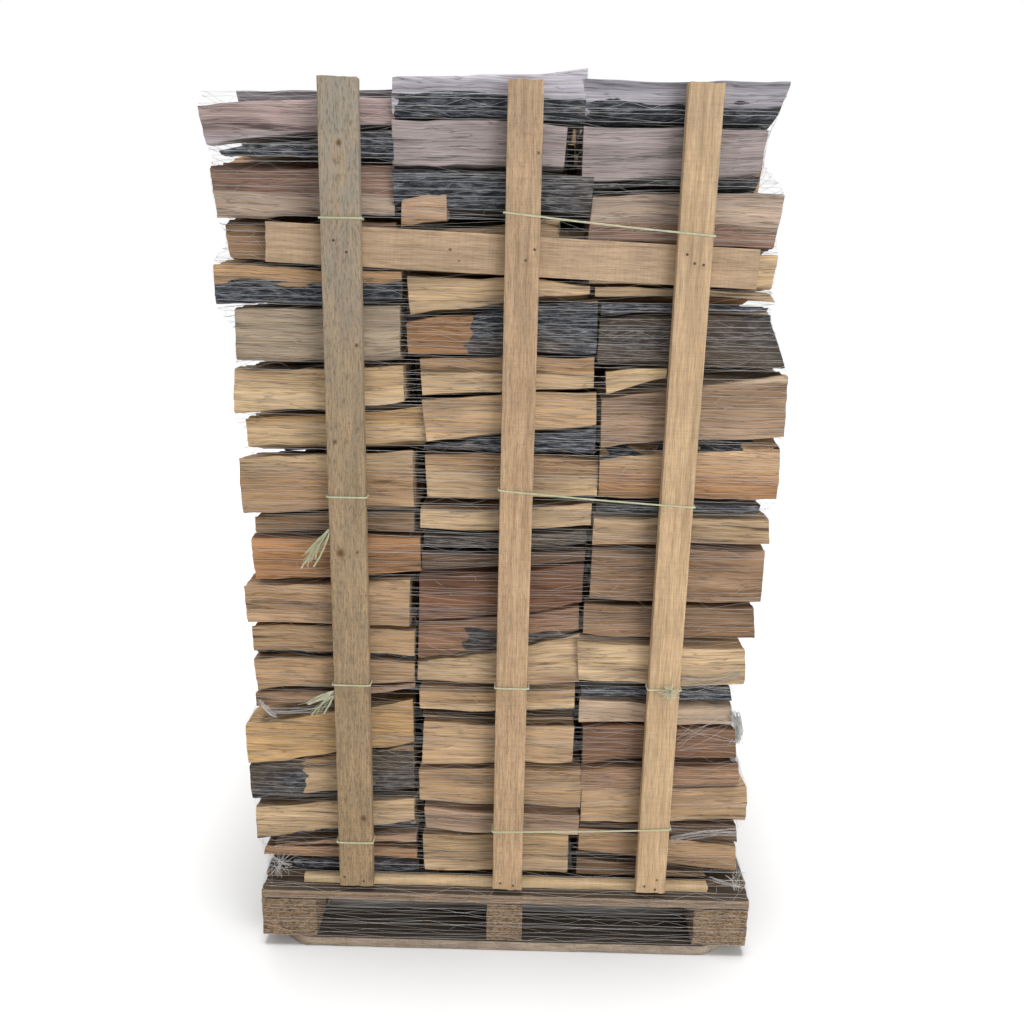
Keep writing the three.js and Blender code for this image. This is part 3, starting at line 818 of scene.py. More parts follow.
def cleft_hardwood():
    """Air-dried hardwood, cleft along the grain and crosscut by chainsaw, with bark left on.
    Cleft faces are dull and stringy, with dark cracks; sawn ends show 3 mm rings and drying checks."""
    material, tree, shader = new_material("cleft_hardwood")
    grain = add(tree, "Attribute", out="Vector", attribute_name="grain")
    tint = add(tree, "Attribute", out="Color", attribute_name="tint")
    cover = add(tree, "Attribute", out="Vector", attribute_name="cover")
    sawn = add(tree, "Attribute", out="Fac", attribute_name="sawn")
    bark_share, stain_share, girth = add(tree, "SeparateXYZ", [cover]).node.outputs
    along, side, height = add(tree, "SeparateXYZ", [grain]).node.outputs
    p = patterns_on(tree, grain, [
        ("fibre", (95, 4.2, 4.2), 4.0, 0.66), ("streak", (300, 16, 16), 4.0, 0.62),
        ("blotch", (150, 45, 45), 3.0, 0.55), ("waver", (220, 36, 36), 2.0, 0.5),
        ("pores", (30, 1.1, 1.1), 2.0, 0.5), ("smear", (30, 30, 30), 3.0, 0.55),
        ("plates", (28, 4.6, 4.6), 4.0, 0.7), ("mottle", (70, 34, 34), 4.0, 0.55),
        ("fray", (16, 6.5, 6.5), 3.0, 0.55), ("seams", (210, 12, 12), 3.0, 0.55),
    ])

    # Growth rings round the pith, wavering along the log.
    radius = add(tree, "VectorMath LENGTH", [add(tree, "CombineXYZ", {"Y": side, "Z": height})])
    waved = add(tree, "Math MULTIPLY_ADD", [p["waver"], 0.011, radius])
    wave = add(tree, "Math SINE", [add(tree, "Math MULTIPLY", [waved, 2 * math.pi / RING_SPACING])])
    rings = add(tree, "Math MULTIPLY_ADD", [wave, 0.5, 0.5])

    # Cleft faces: strings of fibre, long streaks and dark cracks along the grain.
    face = shaded(tree, tint, [(p["fibre"], 1.0, [(0.28, 0.52), (0.43, 0.86), (0.6, 1.09), (0.76, 1.24)]),
                               (p["streak"], 1.0, [(0.3, 0.66), (0.47, 0.97), (0.7, 1.15)]),
                               (p["blotch"], 1.0, [(0.3, 0.78), (0.55, 1.02), (0.75, 1.12)])])
    ring_tone = add(tree, "Math MULTIPLY_ADD", [rings, -0.14, 1.06])
    face = add(tree, "Mix", [1.0, face, ring_tone], **TIMES)
    crack = add(tree, "ValToRGB", [p["streak"]], stops=[(0.3, 1.0), (0.37, 0.0)])
    split = add(tree, "ValToRGB", [off_middle(tree, p["seams"])], stops=[(0.0, 0.8), (0.018, 0.0)])
    crack = add(tree, "Math MULTIPLY", [add(tree, "Math MAXIMUM", [crack, split]), 0.62])
    face = add(tree, "Mix", [crack, face, linear("#2c2019")], **MIX)
    stain = add(tree, "Math MULTIPLY", [stain_share, 0.8])
    face = add(tree, "Mix", [stain, face, linear("#8a7767")], **TIMES)

    # Sawn ends: greyer, with clear rings, radial checks and dirt.
    turn = add(tree, "Math ARCTAN2", [height, side])
    spoke_place = add(tree, "CombineXYZ", [add(tree, "Math MULTIPLY", [turn, 9.0]),
                                           add(tree, "Math MULTIPLY", [radius, 9.0]), along])
    spokes = add(tree, "TexNoise", {"Vector": spoke_place, "Scale": 1.0, "Detail": 2.5, "Roughness": 0.6})
    check = add(tree, "ValToRGB", [off_middle(tree, spokes)], stops=[(0.0, 1.0), (0.012, 0.0)])
    end = add(tree, "Mix", [0.35, tint, linear("#8f8069")], **MIX)
    end = add(tree, "Mix", [1.0, end, add(tree, "Math MULTIPLY_ADD", [rings, -0.3, 1.0])], **TIMES)
    end = shaded(tree, end, [(p["pores"], 0.85, [(0.3, 0.75), (0.7, 1.12)]),
                             (p["smear"], 0.85, [(0.3, 0.6), (0.62, 1.06)])])
    end = add(tree, "Mix", [add(tree, "Math MULTIPLY", [check, 0.8]), end, linear("#2a2019")], **MIX)
    wood = add(tree, "Mix", [sawn, face, end], **MIX)

    # Bark: blue-grey plates split by dark furrows, and a rim of it round a sawn end.
    bark = add(tree, "ValToRGB", [p["plates"]],
               stops=[(0.34, "#101216"), (0.46, "#2a2d33"), (0.56, "#505359"), (0.7, "#86888a")])
    brown = add(tree, "ValToRGB", [p["mottle"]], stops=[(0.55, 0.0), (0.7, 0.5)])
    brown = add(tree, "Math MAXIMUM", [brown, add(tree, "Math MULTIPLY", [stain_share, 1.5])])
    weathered = add(tree, "Mix", [1.0, bark, linear("#f2d6b8")], **TIMES)
    weathered = add(tree, "Mix", [0.3, weathered, linear("#7a6854")], **MIX)
    bark = add(tree, "Mix", [brown, bark, weathered], **MIX)
    left_on = add(tree, "Math SUBTRACT", [bark_share, 0.35])
    frayed = add(tree, "Math MULTIPLY_ADD", [p["fray"], 0.7, left_on])
    on_face = add(tree, "ValToRGB", [frayed], stops=[(0.47, 0.0), (0.53, 1.0)])
    inside = add(tree, "Math SUBTRACT", [radius, girth])
    wavering = add(tree, "Math MULTIPLY_ADD", [p["fray"], 0.5, 0.8])
    rim = add(tree, "Math MULTIPLY_ADD", [inside, 110.0, wavering])
    rim = add(tree, "ValToRGB", [rim], stops=[(0.46, 0.0), (0.54, 1.0)])
    on_bark = add(tree, "Math MAXIMUM", [on_face, add(tree, "Math MULTIPLY", [rim, sawn])])

    stringy = add(tree, "Math MULTIPLY_ADD", [p["streak"], 1.2, p["fibre"]])
    wood_height = add(tree, "Math MULTIPLY_ADD", [crack, -0.5, stringy])
    end_height = add(tree, "Math MULTIPLY", [add(tree, "Math MULTIPLY_ADD", [check, -1.0, p["pores"]]), 0.4])
    relief = add(tree, "Mix", [sawn, wood_height, end_height], data_type="FLOAT")
    bark_height = add(tree, "Math MULTIPLY", [p["plates"], 2.2])
    relief = add(tree, "Mix", [on_bark, relief, bark_height], data_type="FLOAT")
    feed(tree, shader, {
        "Base Color": add(tree, "Mix", [on_bark, wood, bark], **MIX), "Specular IOR Level": 0.25,
        "Roughness": add(tree, "Math MULTIPLY_ADD", [p["fibre"], -0.2, 0.92]),
        "Normal": add(tree, "Bump", {"Height": relief, "Distance": 0.0022, "Strength": 0.9})})
    return material


def build_logs():
    material = cleft_hardwood()
    batches = {}
    for column in FRONT_LOGS:
        fill_column(column, batches)
    for column, tier, tone, *row in SHORT_LOGS:
        rng = np.random.default_rng(44)
        ys = [STACK_FRONT + dy for dy in (-12, 40, 36, -9)]
        middle = row[4::2], row[5::2]
        lay_log(batches[(column, tier, "front")], wedge(row[:4], ys, pinch=4), middle, "front", rng,
                tone_of(tone), tone)
    for (column, tier, role), batch in batches.items():
        piece = batch.finish(f"logs_{column}_{tier + 1}_{role}", material)
        place_piece(piece, "split_log", tier_nodes[column][tier])


build_logs()


# ---- Battens and pallet: sawn boards ------------------------------------------------------------------

BOARD_END_RINGS = (0.93, 0.5)


def board_ring(width, thick, around, wear):
    """Points round a board's section, and how much of a corner each one is."""
    half = np.array((width, thick)) / 2
    corners = np.array(((-1, -1), (1, -1), (1, 1), (-1, 1)), float)
    ring, corner_share = [], []
    for j, side in enumerate((width, thick, width, thick)):
        count = max(2, round(around * side / (2 * (width + thick))))
        a, b = corners[j] * half, corners[(j + 1) % 4] * half
        share = wear / np.linalg.norm(b - a)
        t = np.concatenate([[0, min(0.2, share)], np.linspace(share, 1 - share, count)[1:-1],
                            [1 - min(0.2, share)]])
        ring.append(a + (b - a) * t[:, None])
        corner_share.append(np.concatenate([[1.0, 0.3], np.zeros(count - 2), [0.3]]))
    return np.concatenate(ring), np.concatenate(corner_share)


def sawn_board(size, steps, rng, wear=1.6, bow=2.0, chip=1.4, ragged=3.0, edges=None, fuzz=0.25):
    """A sawn board centred on the origin, in millimetres: its length along X, width along Y and thickness
    along Z. Steps are the mesh's steps along and round it. Edges narrows it: it gives, for places along
    the board, the low and high share of its width. Returns points, faces and a flag for the sawn ends."""
    length, width, thick = size
    along, around = steps
    stations = np.linspace(-0.5, 0.5, along) * length
    ring, corner_share = board_ring(width, thick, around, wear)
    n = len(ring)
    body = np.zeros((along, n, 3))
    body[..., 0] = stations[:, None]
    body[..., 1:] = ring
    if edges is not None:
        low, high = edges(stations)
        share = ring[:, 0] / width + 0.5
        body[..., 1] = width * (low[:, None] + (high - low)[:, None] * share - 0.5)
    shift = rng.uniform(0, 5000, 3)
    flat = body.reshape(-1, 3)
    chipped = chip * np.maximum(0, rough(flat + shift, (24, 9, 9), seed=2))
    worn = np.tile(corner_share, along) * (0.45 * wear + chipped)
    flat[:, 1:] -= np.sign(flat[:, 1:]) * (worn * 0.7)[:, None]
    on_wide = np.abs(np.abs(ring[:, 1]) - thick / 2) < 1e-6
    fibre = fuzz * (rough(flat + shift, (60, 3.2, 3.2), seed=3)
                    + 0.6 * rough(flat + shift, (150, 14, 14), seed=4))
    flat[:, 2] += np.tile(np.where(on_wide, np.sign(ring[:, 1]), 0), along) * fibre
    flat[:, 1] += np.tile(np.where(~on_wide, np.sign(ring[:, 0]), 0), along) * fibre
    u = flat[:, 0] / length
    lean = rng.uniform(-bow, bow, 4)
    wave = np.cos(math.pi * u) - 0.64
    flat[:, 1] += lean[0] * wave + 0.3 * lean[1] * np.sin(2 * math.pi * u)
    flat[:, 2] += 0.5 * (lean[2] * wave + 0.3 * lean[3] * np.sin(2 * math.pi * u))
    starts = (0, (along - 1) * n)
    for first, sign in zip(starts, (-1, 1)):
        rim = flat[first:first + n]
        rim[:, 0] += ragged * 0.5 * rough(rim + shift, (9, 9, 5), seed=6) - 0.5 * sign * ragged
        rim[:, 0] += rng.uniform(-0.02, 0.02) * rim[:, 1]

    def uneven(inner):
        inner[:, 0] += 0.3 * rough(inner + shift, 4, seed=8)
        return inner

    points, quads, tris = [flat], [side_faces(along, n)], []
    for first in starts:
        total = sum(len(p) for p in points)
        made, ends, fan = close_end(flat[first:first + n], first, total, BOARD_END_RINGS, uneven, first > 0)
        points, quads, tris = points + made, quads + ends, tris + fan
    faces = [np.concatenate(quads), np.concatenate(tris)]
    sawn = np.ones(len(faces[0]) + len(faces[1]))
    sawn[:len(quads[0])] = 0
    return np.concatenate(points), faces, sawn


def place_board(name, node, board, axes, centre, material, slot, offset):
    """Turns a board's own axes (length, width, thickness) to the world's and makes it a piece."""
    points, faces, sawn = board
    turn = np.array(axes, float)
    world = points @ turn + np.array(centre)
    if np.linalg.det(turn) < 0:
        faces = [f[:, ::-1] for f in faces]
    grain = (points + np.array(offset)) * MM
    thing = mesh_object(name, world * MM, faces, material, {"grain": grain}, {"sawn": sawn}, 50)
    return place_piece(thing, slot, node)


def sawn_softwood(name, pale, dark, ring_width, grey="#8a8378", greying=0.0, speck=0.0, dirt=0.0, knots=(),
                  mud_and_shade=0.0):
    """Rough-sawn spruce: straight grain and flame-like rings in two tones, a dull fuzzy face with the saw's
    marks across it, darker end grain, and knots. Out of doors it goes grey and gathers dark specks; faces
    that look up are darkened, partly by mud and partly as painted shade."""
    material, tree, shader = new_material(name)
    grain = add(tree, "Attribute", out="Vector", attribute_name="grain")
    sawn = add(tree, "Attribute", out="Fac", attribute_name="sawn")
    along, across, through = add(tree, "SeparateXYZ", [grain]).node.outputs
    p = patterns_on(tree, grain, [
        ("fibre", (42, 1.7, 1.7), 3.0, 0.6), ("streak", (280, 9, 9), 3.0, 0.55),
        ("drift", (520, 60, 60), 2.0, 0.5), ("blotch", (110, 50, 50), 3.0, 0.55),
        ("specks", (13, 2.8, 2.8), 3.0, 0.75), ("grime", (70, 22, 22), 4.0, 0.65),
        ("saw", (3.2, 60, 60), 1.0, 0.5),
    ])
    # The rings are cylinders round a pith some 40 mm under the face, and the pith drifts along the board.
    drift = add(tree, "Math MULTIPLY", [add(tree, "Math SUBTRACT", [p["drift"], 0.5]), 0.11])
    shifted = add(tree, "Math ADD", [across, drift])
    deep = add(tree, "Math ADD", [through, 0.042])
    bend, mark = 0.0, 0.0
    for x, y, size in knots:
        dx = add(tree, "Math MULTIPLY", [add(tree, "Math SUBTRACT", [along, x * MM]), 0.85])
        dy = add(tree, "Math SUBTRACT", [across, y * MM])
        away = add(tree, "VectorMath LENGTH", [add(tree, "CombineXYZ", [dx, dy])])
        share = add(tree, "Math MULTIPLY", [away, 1000 / size])
        core = add(tree, "ValToRGB", [share], stops=[(0.0, 1.0), (0.22, 0.9), (0.36, 0.45), (0.62, 0.0)])
        pull = add(tree, "ValToRGB", [add(tree, "Math MULTIPLY", [share, 0.25])],
                   stops=[(0.0, 1.0), (0.9, 0.0)])
        bend = add(tree, "Math MULTIPLY_ADD", [pull, 0.0004 * size, bend])
        mark = add(tree, "Math MAXIMUM", [core, mark])
    radius = add(tree, "VectorMath LENGTH", [add(tree, "CombineXYZ", [shifted, deep])])
    radius = add(tree, "Math ADD", [radius, bend])
    phase = add(tree, "Math MULTIPLY", [radius, 2 * math.pi / (ring_width * MM)])
    wave = add(tree, "Math MULTIPLY_ADD", [add(tree, "Math SINE", [phase]), 0.5, 0.5])
    rings = add(tree, "ValToRGB", [wave], stops=[(0.1, 0.0), (0.75, 0.45), (0.97, 1.0)])
    ring_share = add(tree, "Math MULTIPLY", [rings, 0.3])
    colour = add(tree, "Mix", [ring_share, linear(pale), linear(dark)], **MIX)
    colour = shaded(tree, colour, [(p["fibre"], 1.0, [(0.3, 0.72), (0.5, 1.0), (0.7, 1.2)]),
                                   (p["streak"], 1.0, [(0.3, 0.83), (0.5, 1.0), (0.7, 1.1)]),
                                   (p["blotch"], 1.0, [(0.3, 0.88), (0.7, 1.08)]),
                                   (p["saw"], 0.5, [(0.35, 0.88), (0.6, 1.04)])])
    colour = add(tree, "Mix", [add(tree, "Math MULTIPLY", [sawn, 0.45]), colour, linear(dark)], **TIMES)
    greyed = add(tree, "ValToRGB", [p["grime"]], stops=[(0.3, 0.35 * greying), (0.65, greying)])
    height = add(tree, "ValToRGB", [add(tree, "Math MULTIPLY_ADD", [along, 0.6, 0.5])],
                 stops=[(0.1, 0.1), (0.6, 0.42), (0.95, 1.25)])
    greyed = add(tree, "Math MULTIPLY", [greyed, height])
    colour = add(tree, "Mix", [greyed, colour, linear(grey)], **MIX)
    # Faces that look up are darkened towards dark brown: part mud, part painted shade on the boards' tops.
    facing = add(tree, "SeparateXYZ", [add(tree, "NewGeometry", out="Normal")]).node.outputs["Z"]
    colour = stained(tree, colour, [(p["specks"], [(0.5, 0.0), (0.64, speck)], "#544838"),
                                    (p["grime"], [(0.44, 0.0), (0.66, dirt)], "#3a322a"),
                                    (facing, [(0.5, 0.0), (0.8, mud_and_shade)], "#332c25")])
    colour = add(tree, "Mix", [mark, colour, linear("#5d4029")], **MIX)
    relief = add(tree, "Math MULTIPLY_ADD", [p["saw"], 0.6, p["fibre"]])
    relief = add(tree, "Math MULTIPLY_ADD", [rings, 0.4, relief])
    feed(tree, shader, {"Base Color": colour, "Specular IOR Level": 0.25, "Roughness": 0.86, "Normal": add(
        tree, "Bump", {"Height": relief, "Distance": 0.0007, "Strength": 0.8})})
    return material


def pressed_chips():
    """Pallet block pressed from wood chips and resin: brown and tan flakes 2 to 6 mm long lying every way,
    with dark pits between them, and a dull crumbly face."""
    material, tree, shader = new_material("pressed_chips")
    grain = add(tree, "Attribute", out="Vector", attribute_name="grain")
    tilt = add(tree, "Mapping", {"Vector": grain, "Rotation": (0.5, 0.3, 0.4), "Scale": (240, 420, 640)})
    chips = {"Vector": tilt, "Scale": 1.0, "Randomness": 1.0}
    shade = add(tree, "TexVoronoi", chips, out="Color")
    gap = add(tree, "TexVoronoi", chips, out="Distance")
    p = patterns_on(tree, grain, [("blotch", (40, 40, 25), 3.0, 0.6), ("fine", (1.6, 1.6, 1.2), 3.0, 0.6),
                                  ("pits", (5, 5, 3.5), 3.0, 0.7)])
    colour = add(tree, "ValToRGB", [add(tree, "SeparateColor", [shade])],
                 stops=[(0.0, "#5b4838"), (0.3, "#765f47"), (0.62, "#8d7459"), (1.0, "#a58d70")])
    colour = shaded(tree, colour, [(p["blotch"], 1.0, [(0.3, 0.72), (0.65, 1.08)]),
                                   (p["fine"], 1.0, [(0.3, 0.75), (0.7, 1.15)])])
    colour = stained(tree, colour, [(p["pits"], [(0.33, 0.7), (0.42, 0.0)], "#382e26")])
    relief = add(tree, "Math MULTIPLY_ADD", [gap, -0.8, p["pits"]])
    feed(tree, shader, {"Base Color": colour, "Specular IOR Level": 0.2, "Roughness": 0.92, "Normal": add(
        tree, "Bump", {"Height": relief, "Distance": 0.0016, "Strength": 1.0})})
    return material


UPRIGHT_LENGTH = 1531.0
UPRIGHT_FOOT = 144.0
UPRIGHT_MIDDLE = UPRIGHT_FOOT + UPRIGHT_LENGTH / 2
UPRIGHT_THICKNESS = 24
RAIL_THICKNESS = 21
# Each upright: x at mid height, width, and the lean of its top towards +X in degrees.
UPRIGHTS = {"left": (-304.0, 68.0, 0.0), "middle": (5.8, 60.0, 0.15), "right": (300.0, 60.0, 0.36)}
# Each upright's finish, as sawn_softwood takes it, and its knots: height above the floor, x from its
# middle, and width, in millimetres.
UPRIGHT_WOOD = {
    "left": ("weathered_spruce", "#9a8161", "#7b6243", 4.4, "#979287", 0.75, 0.55, 0.2),
    "middle": ("sawn_spruce_middle", "#b29575", "#967452", 5.0, "#8a8378", 0.2, 0.3, 0.12),
    "right": ("sawn_spruce_right", "#b89c7a", "#9f815e", 6.0, "#8a8378", 0.16, 0.16, 0.04),
}
UPRIGHT_KNOTS = {
    "left": [(854, -14, 17), (856, 17, 6), (301, 18, 13), (1570, 1, 11), (1236, 24, 8), (1063, -19, 9)],
    "middle": [(1560, 24, 6)], "right": [(176, 12, 6)],
}
# The upper rails: middle, size and how far the right end tilts down in degrees.
UPPER_RAIL = {"front": ((-10, -565.2, 1394.0), (862, 68, RAIL_THICKNESS), 2.07),
              "back": ((6, 565.2, 1372.0), (880, 68, RAIL_THICKNESS), 0)}
LOWER_RAIL = (836, 15, RAIL_THICKNESS)
FRONT_AND_BACK = {"front": -1, "back": 1}


def build_battens():
    looks = {column: sawn_softwood(*wood, [(z - UPRIGHT_MIDDLE, x, w) for z, x, w in UPRIGHT_KNOTS[column]])
             for column, wood in UPRIGHT_WOOD.items()}
    rail_look = sawn_softwood("sawn_spruce_rail", "#a99176", "#866d52", 7.0, dirt=0.1, speck=0.15,
                              knots=[(-108, 4, 6), (-92, -14, 4)])
    # The lower rails get a lighter copy of the rails' spruce: painted light that makes up for the shade of the
    # load above them.
    lightened_low_rail_look = sawn_softwood("lightened_low_rail_spruce", "#cdb28a", "#ab8e68", 5.0, dirt=0.06, speck=0.1)
    rng = np.random.default_rng(5)
    for side, out in FRONT_AND_BACK.items():
        is_front = side == "front"
        for column, (_, width, lean) in UPRIGHTS.items():
            node = f"upright_{side}_{column}"
            board = sawn_board((UPRIGHT_LENGTH, width, UPRIGHT_THICKNESS), (150, 44), rng, bow=1.6)
            c, s = math.cos(math.radians(lean)), math.sin(math.radians(lean))
            place_board(f"{node}_board", node, board, ((s, 0, c), (-out * c, 0, out * s), (0, 1, 0)),
                        middle_and_size(node)[0], looks[column],
                        "weathered_batten" if column == "left" else "pale_batten",
                        (0, 0, 0) if is_front else (900, 31, 8))
        centre, size, tilt = UPPER_RAIL[side]
        c, s = math.cos(math.radians(tilt)), math.sin(math.radians(tilt))
        board = sawn_board(size, (90, 44), rng, bow=0.6)
        node = f"rail_{side}_upper"
        place_board(f"{node}_board", node, board, ((c, 0, -s), (s, 0, c), (0, -1, 0)), centre, rail_look,
                    "pale_batten", (0, 0, 0) if is_front else (700, 12, 5))
        node = f"rail_{side}_lower"
        board = sawn_board(LOWER_RAIL, (80, 30), rng, bow=0.5)
        place_board(f"{node}_board", node, board, ((1, 0, 0), (0, 0, 1), (0, -1, 0)),
                    middle_and_size(node)[0], lightened_low_rail_look, "pale_batten",
                    (300 if is_front else 1500, -20, 4))


CUT_CORNER = (84.0, 60.0)  # along X and along Y, of the base boards at the front and back
# The pallet's boards: the nodes and which way they are long, 0 for X and 1 for Y.
PALLET_BOARDS = [([f"deck_board_{i}" for i in range(1, 6)], 1),
                 ([f"stringer_{s}" for s in ("front", "centre", "back")], 0),
                 ([f"base_board_{s}" for s in ("left", "middle", "right")], 1),
                 (["base_board_front", "base_board_back"], 0)]


def cut_corners(node, size):
    """The low and high share of a base board's width, with its two outer corners cut off."""
    def edges(x):
        cut = np.clip((np.abs(x) - (size[0] / 2 - CUT_CORNER[0])) / CUT_CORNER[0], 0, 1)
        cut = cut * CUT_CORNER[1] / size[1]
        return (cut, 1 + 0 * x) if node.endswith("front") else (0 * x, 1 - cut)
    return edges


def build_pallet():
    knots = [(-260, 10, 16), (130, -18, 13), (395, 22, 15)]
    # The last argument of each darkens the faces that look up: part mud, part painted shade.
    board_look = sawn_softwood("dirty_pallet_spruce", "#8b7156", "#67503a", 5.5, "#857865", 0.3, 0.5, 0.5,
                               knots, 0.8)
    base_look = sawn_softwood("worn_base_spruce", "#a5937f", "#826e59", 5.5, "#a09a95", 0.5, 0.4, 0.35,
                              knots, 0.85)
    block_look = pressed_chips()
    rng = np.random.default_rng(8)
    for nodes, long_axis in PALLET_BOARDS:
        for node in nodes:
            middle, extent = middle_and_size(node)
            order = [long_axis, 1 - long_axis, 2]
            is_base = node.startswith("base")
            edges = cut_corners(node, extent[order]) if is_base and long_axis == 0 else None
            steps = (100 if extent[long_axis] > 1100 else 90, 40)
            board = sawn_board(extent[order], steps, rng, wear=2.6, bow=0.35, chip=3.2, ragged=4.0,
                               edges=edges, fuzz=0.3)
            place_board(f"{node}_plank", node, board, np.eye(3)[order], middle,
                        base_look if is_base else board_look, "pallet_board",
                        rng.uniform(-90, 90, 3) * (4, 0.3, 0.1))
    for side in ("front", "centre", "back"):
        for column in ("left", "middle", "right"):
            node = f"block_{side}_{column}"
            middle, extent = middle_and_size(node)
            points, faces, sawn = sawn_board(extent, (40, 110), rng, wear=2.5, bow=0.2, chip=4.0, ragged=1.0,
                                             fuzz=0.2)
            crumbs = 1.1 * np.abs(rough(points, 5.5, seed=2)) + 0.7 * rough(points, (14, 9, 14), seed=3)
            points = points * (1 - np.clip(crumbs + 0.5, 0, 3)[:, None] / (extent / 2))
            place_board(f"{node}_pressed", node, (points, faces, sawn), np.eye(3), middle, block_look,
                        "pressed_block", rng.uniform(-400, 400, 3))


build_battens()
build_pallet()


# ---- Grown parts: node groups -------------------------------------------------------------------------

WHOLE, MEASURE = True, False  # the kinds of a group's inputs


def group(name, inputs):
    """A geometry node group with named inputs of whole numbers or measures: the tree, its inputs' outputs
    by name, their identifiers and a function that ends it in Realize Instances and Set Material."""
    tree = bpy.data.node_groups.new(name, "GeometryNodeTree")
    ids = {}

    def input_of(key, kind):
        ids[key] = tree.interface.new_socket(key, in_out="INPUT", socket_type="NodeSocket" + kind).identifier

    input_of("Geometry", "Geometry")
    for key, is_whole in inputs.items():
        input_of(key, "Int" if is_whole else "Float")
    input_of("Material", "Material")
    tree.interface.new_socket("Geometry", in_out="OUTPUT", socket_type="NodeSocketGeometry")
    given = tree.nodes.new("NodeGroupInput").outputs

    def finish(geometry):
        real = add(tree, "GeometryNodeRealizeInstances", [geometry])
        done = add(tree, "GeometryNodeSetMaterial", {"Geometry": real, "Material": given["Material"]})
        tree.links.new(done, tree.nodes.new("NodeGroupOutput").inputs[0])
        return tree, ids

    return tree, given, finish


def grown(name, base, made, values):
    """Runs a node group on a base mesh and keeps the result as a plain mesh object."""
    tree, ids = made
    source = bpy.data.objects.new(name + "_source", base)
    bpy.context.scene.collection.objects.link(source)
    modifier = source.modifiers.new("grow", "NODES")
    modifier.node_group = tree
    for key, value in values.items():
        modifier[ids[key]] = value
    bpy.context.view_layer.update()
    evaluated = source.evaluated_get(bpy.context.evaluated_depsgraph_get())
    mesh = bpy.data.meshes.new_from_object(evaluated)
    source.modifiers.remove(modifier)
    bpy.data.objects.remove(source)
    mesh.name = name
    mesh.polygons.foreach_set("use_smooth", np.ones(len(mesh.polygons), bool))
    thing = bpy.data.objects.new(name, mesh)
    bpy.context.scene.collection.objects.link(thing)
    return thing


def nail_group():
    """A round flat nail head on every point, square to its facing and tipped a little at random."""
    tree, given, finish = group("nail_heads", {"Head diameter": MEASURE, "Head height": MEASURE,
                                               "Tip angle": MEASURE, "Seed": WHOLE})
    radius = add(tree, "Math MULTIPLY", [given["Head diameter"], 0.5])
    under = add(tree, "Math MULTIPLY", [radius, 0.86])
    head = add(tree, "GeometryNodeMeshCone", {"Vertices": 12, "Side Segments": 1, "Radius Top": under,
                                             "Radius Bottom": radius, "Depth": given["Head height"]})
    facing = add(tree, "GeometryNodeInputNamedAttribute", {"Name": "facing"}, data_type="FLOAT_VECTOR")
    turned = add(tree, "FunctionNodeAlignRotationToVector", {"Vector": facing}, axis="Z")
    low = add(tree, "CombineXYZ", [add(tree, "Math MULTIPLY", [given["Tip angle"], -1.0])] * 2)
    high = add(tree, "CombineXYZ", [given["Tip angle"]] * 2)
    tip = add(tree, "FunctionNodeRandomValue", {"Min": low, "Max": high, "Seed": given["Seed"]},
              data_type="FLOAT_VECTOR")
    tip = add(tree, "FunctionNodeEulerToRotation", [tip])
    tipped = add(tree, "FunctionNodeRotateRotation", [turned, tip], rotation_space="LOCAL")
    return finish(add(tree, "GeometryNodeInstanceOnPoints", {"Points": given["Geometry"], "Instance": head,
                                                             "Rotation": tipped}))


def thread_group():
    """A plain round thread along every line of a mesh."""
    tree, given, finish = group("threads", {"Thread diameter": MEASURE, "Sides": WHOLE})
    line = add(tree, "GeometryNodeMeshToCurve", {"Mesh": given["Geometry"]})
    radius = add(tree, "Math MULTIPLY", [given["Thread diameter"], 0.5])
    ring = add(tree, "GeometryNodeCurvePrimitiveCircle", {"Resolution": given["Sides"], "Radius": radius})
    return finish(add(tree, "GeometryNodeCurveToMesh", {"Curve": line, "Profile Curve": ring,
                                                        "Fill Caps": True}))


def rope_group():
    """Twine of several plies laid round each other, along every line of a mesh."""
    tree, given, finish = group("laid_twine", {"Ply diameter": MEASURE, "Lay diameter": MEASURE,
                                               "Lay length": MEASURE, "Plies": WHOLE, "Step": MEASURE})
    line = add(tree, "GeometryNodeMeshToCurve", {"Mesh": given["Geometry"]})
    line = add(tree, "GeometryNodeResampleCurve", {"Curve": line, "Length": given["Step"]}, mode="LENGTH")
    run = add(tree, "GeometryNodeSplineParameter", out="Length")
    turns = add(tree, "Math DIVIDE", [run, given["Lay length"]])
    tilt = add(tree, "Math MULTIPLY", [turns, 2 * math.pi])
    line = add(tree, "GeometryNodeSetCurveTilt", {"Curve": line, "Tilt": tilt})
    lay = add(tree, "Math MULTIPLY", [given["Lay diameter"], 0.5])
    ply = add(tree, "Math MULTIPLY", [given["Ply diameter"], 0.5])
    spots = add(tree, "GeometryNodeMeshCircle", {"Vertices": given["Plies"], "Radius": lay})
    ring = add(tree, "GeometryNodeCurvePrimitiveCircle", {"Resolution": 6, "Radius": ply})
    rings = add(tree, "GeometryNodeInstanceOnPoints", {"Points": spots, "Instance": ring})
    profile = add(tree, "GeometryNodeRealizeInstances", [rings])
    return finish(add(tree, "GeometryNodeCurveToMesh", {"Curve": line, "Profile Curve": profile,
                                                        "Fill Caps": True}))


# ---- Nails --------------------------------------------------------------------------------------------

BATTEN_FACE = 600.4  # the uprights' faces, from the load's middle
BATTEN_NAILS = [(-316, 1413), (-294, 1394), (29, 1404), (14, 1386), (290, 1401), (304, 1386), (319, 1384),
                (-327, 166), (-288, 157), (-10, 160), (16, 155), (283, 161), (305, 154)]
DECK_NAILS = ((-471, -384, -251, -176, -36, 36, 177, 250, 385, 470), (-546, -521, -24, 26, 520, 547))
BASE_NAILS = ((-465, -425, -15, 17, 422, 466), (-540, 545))


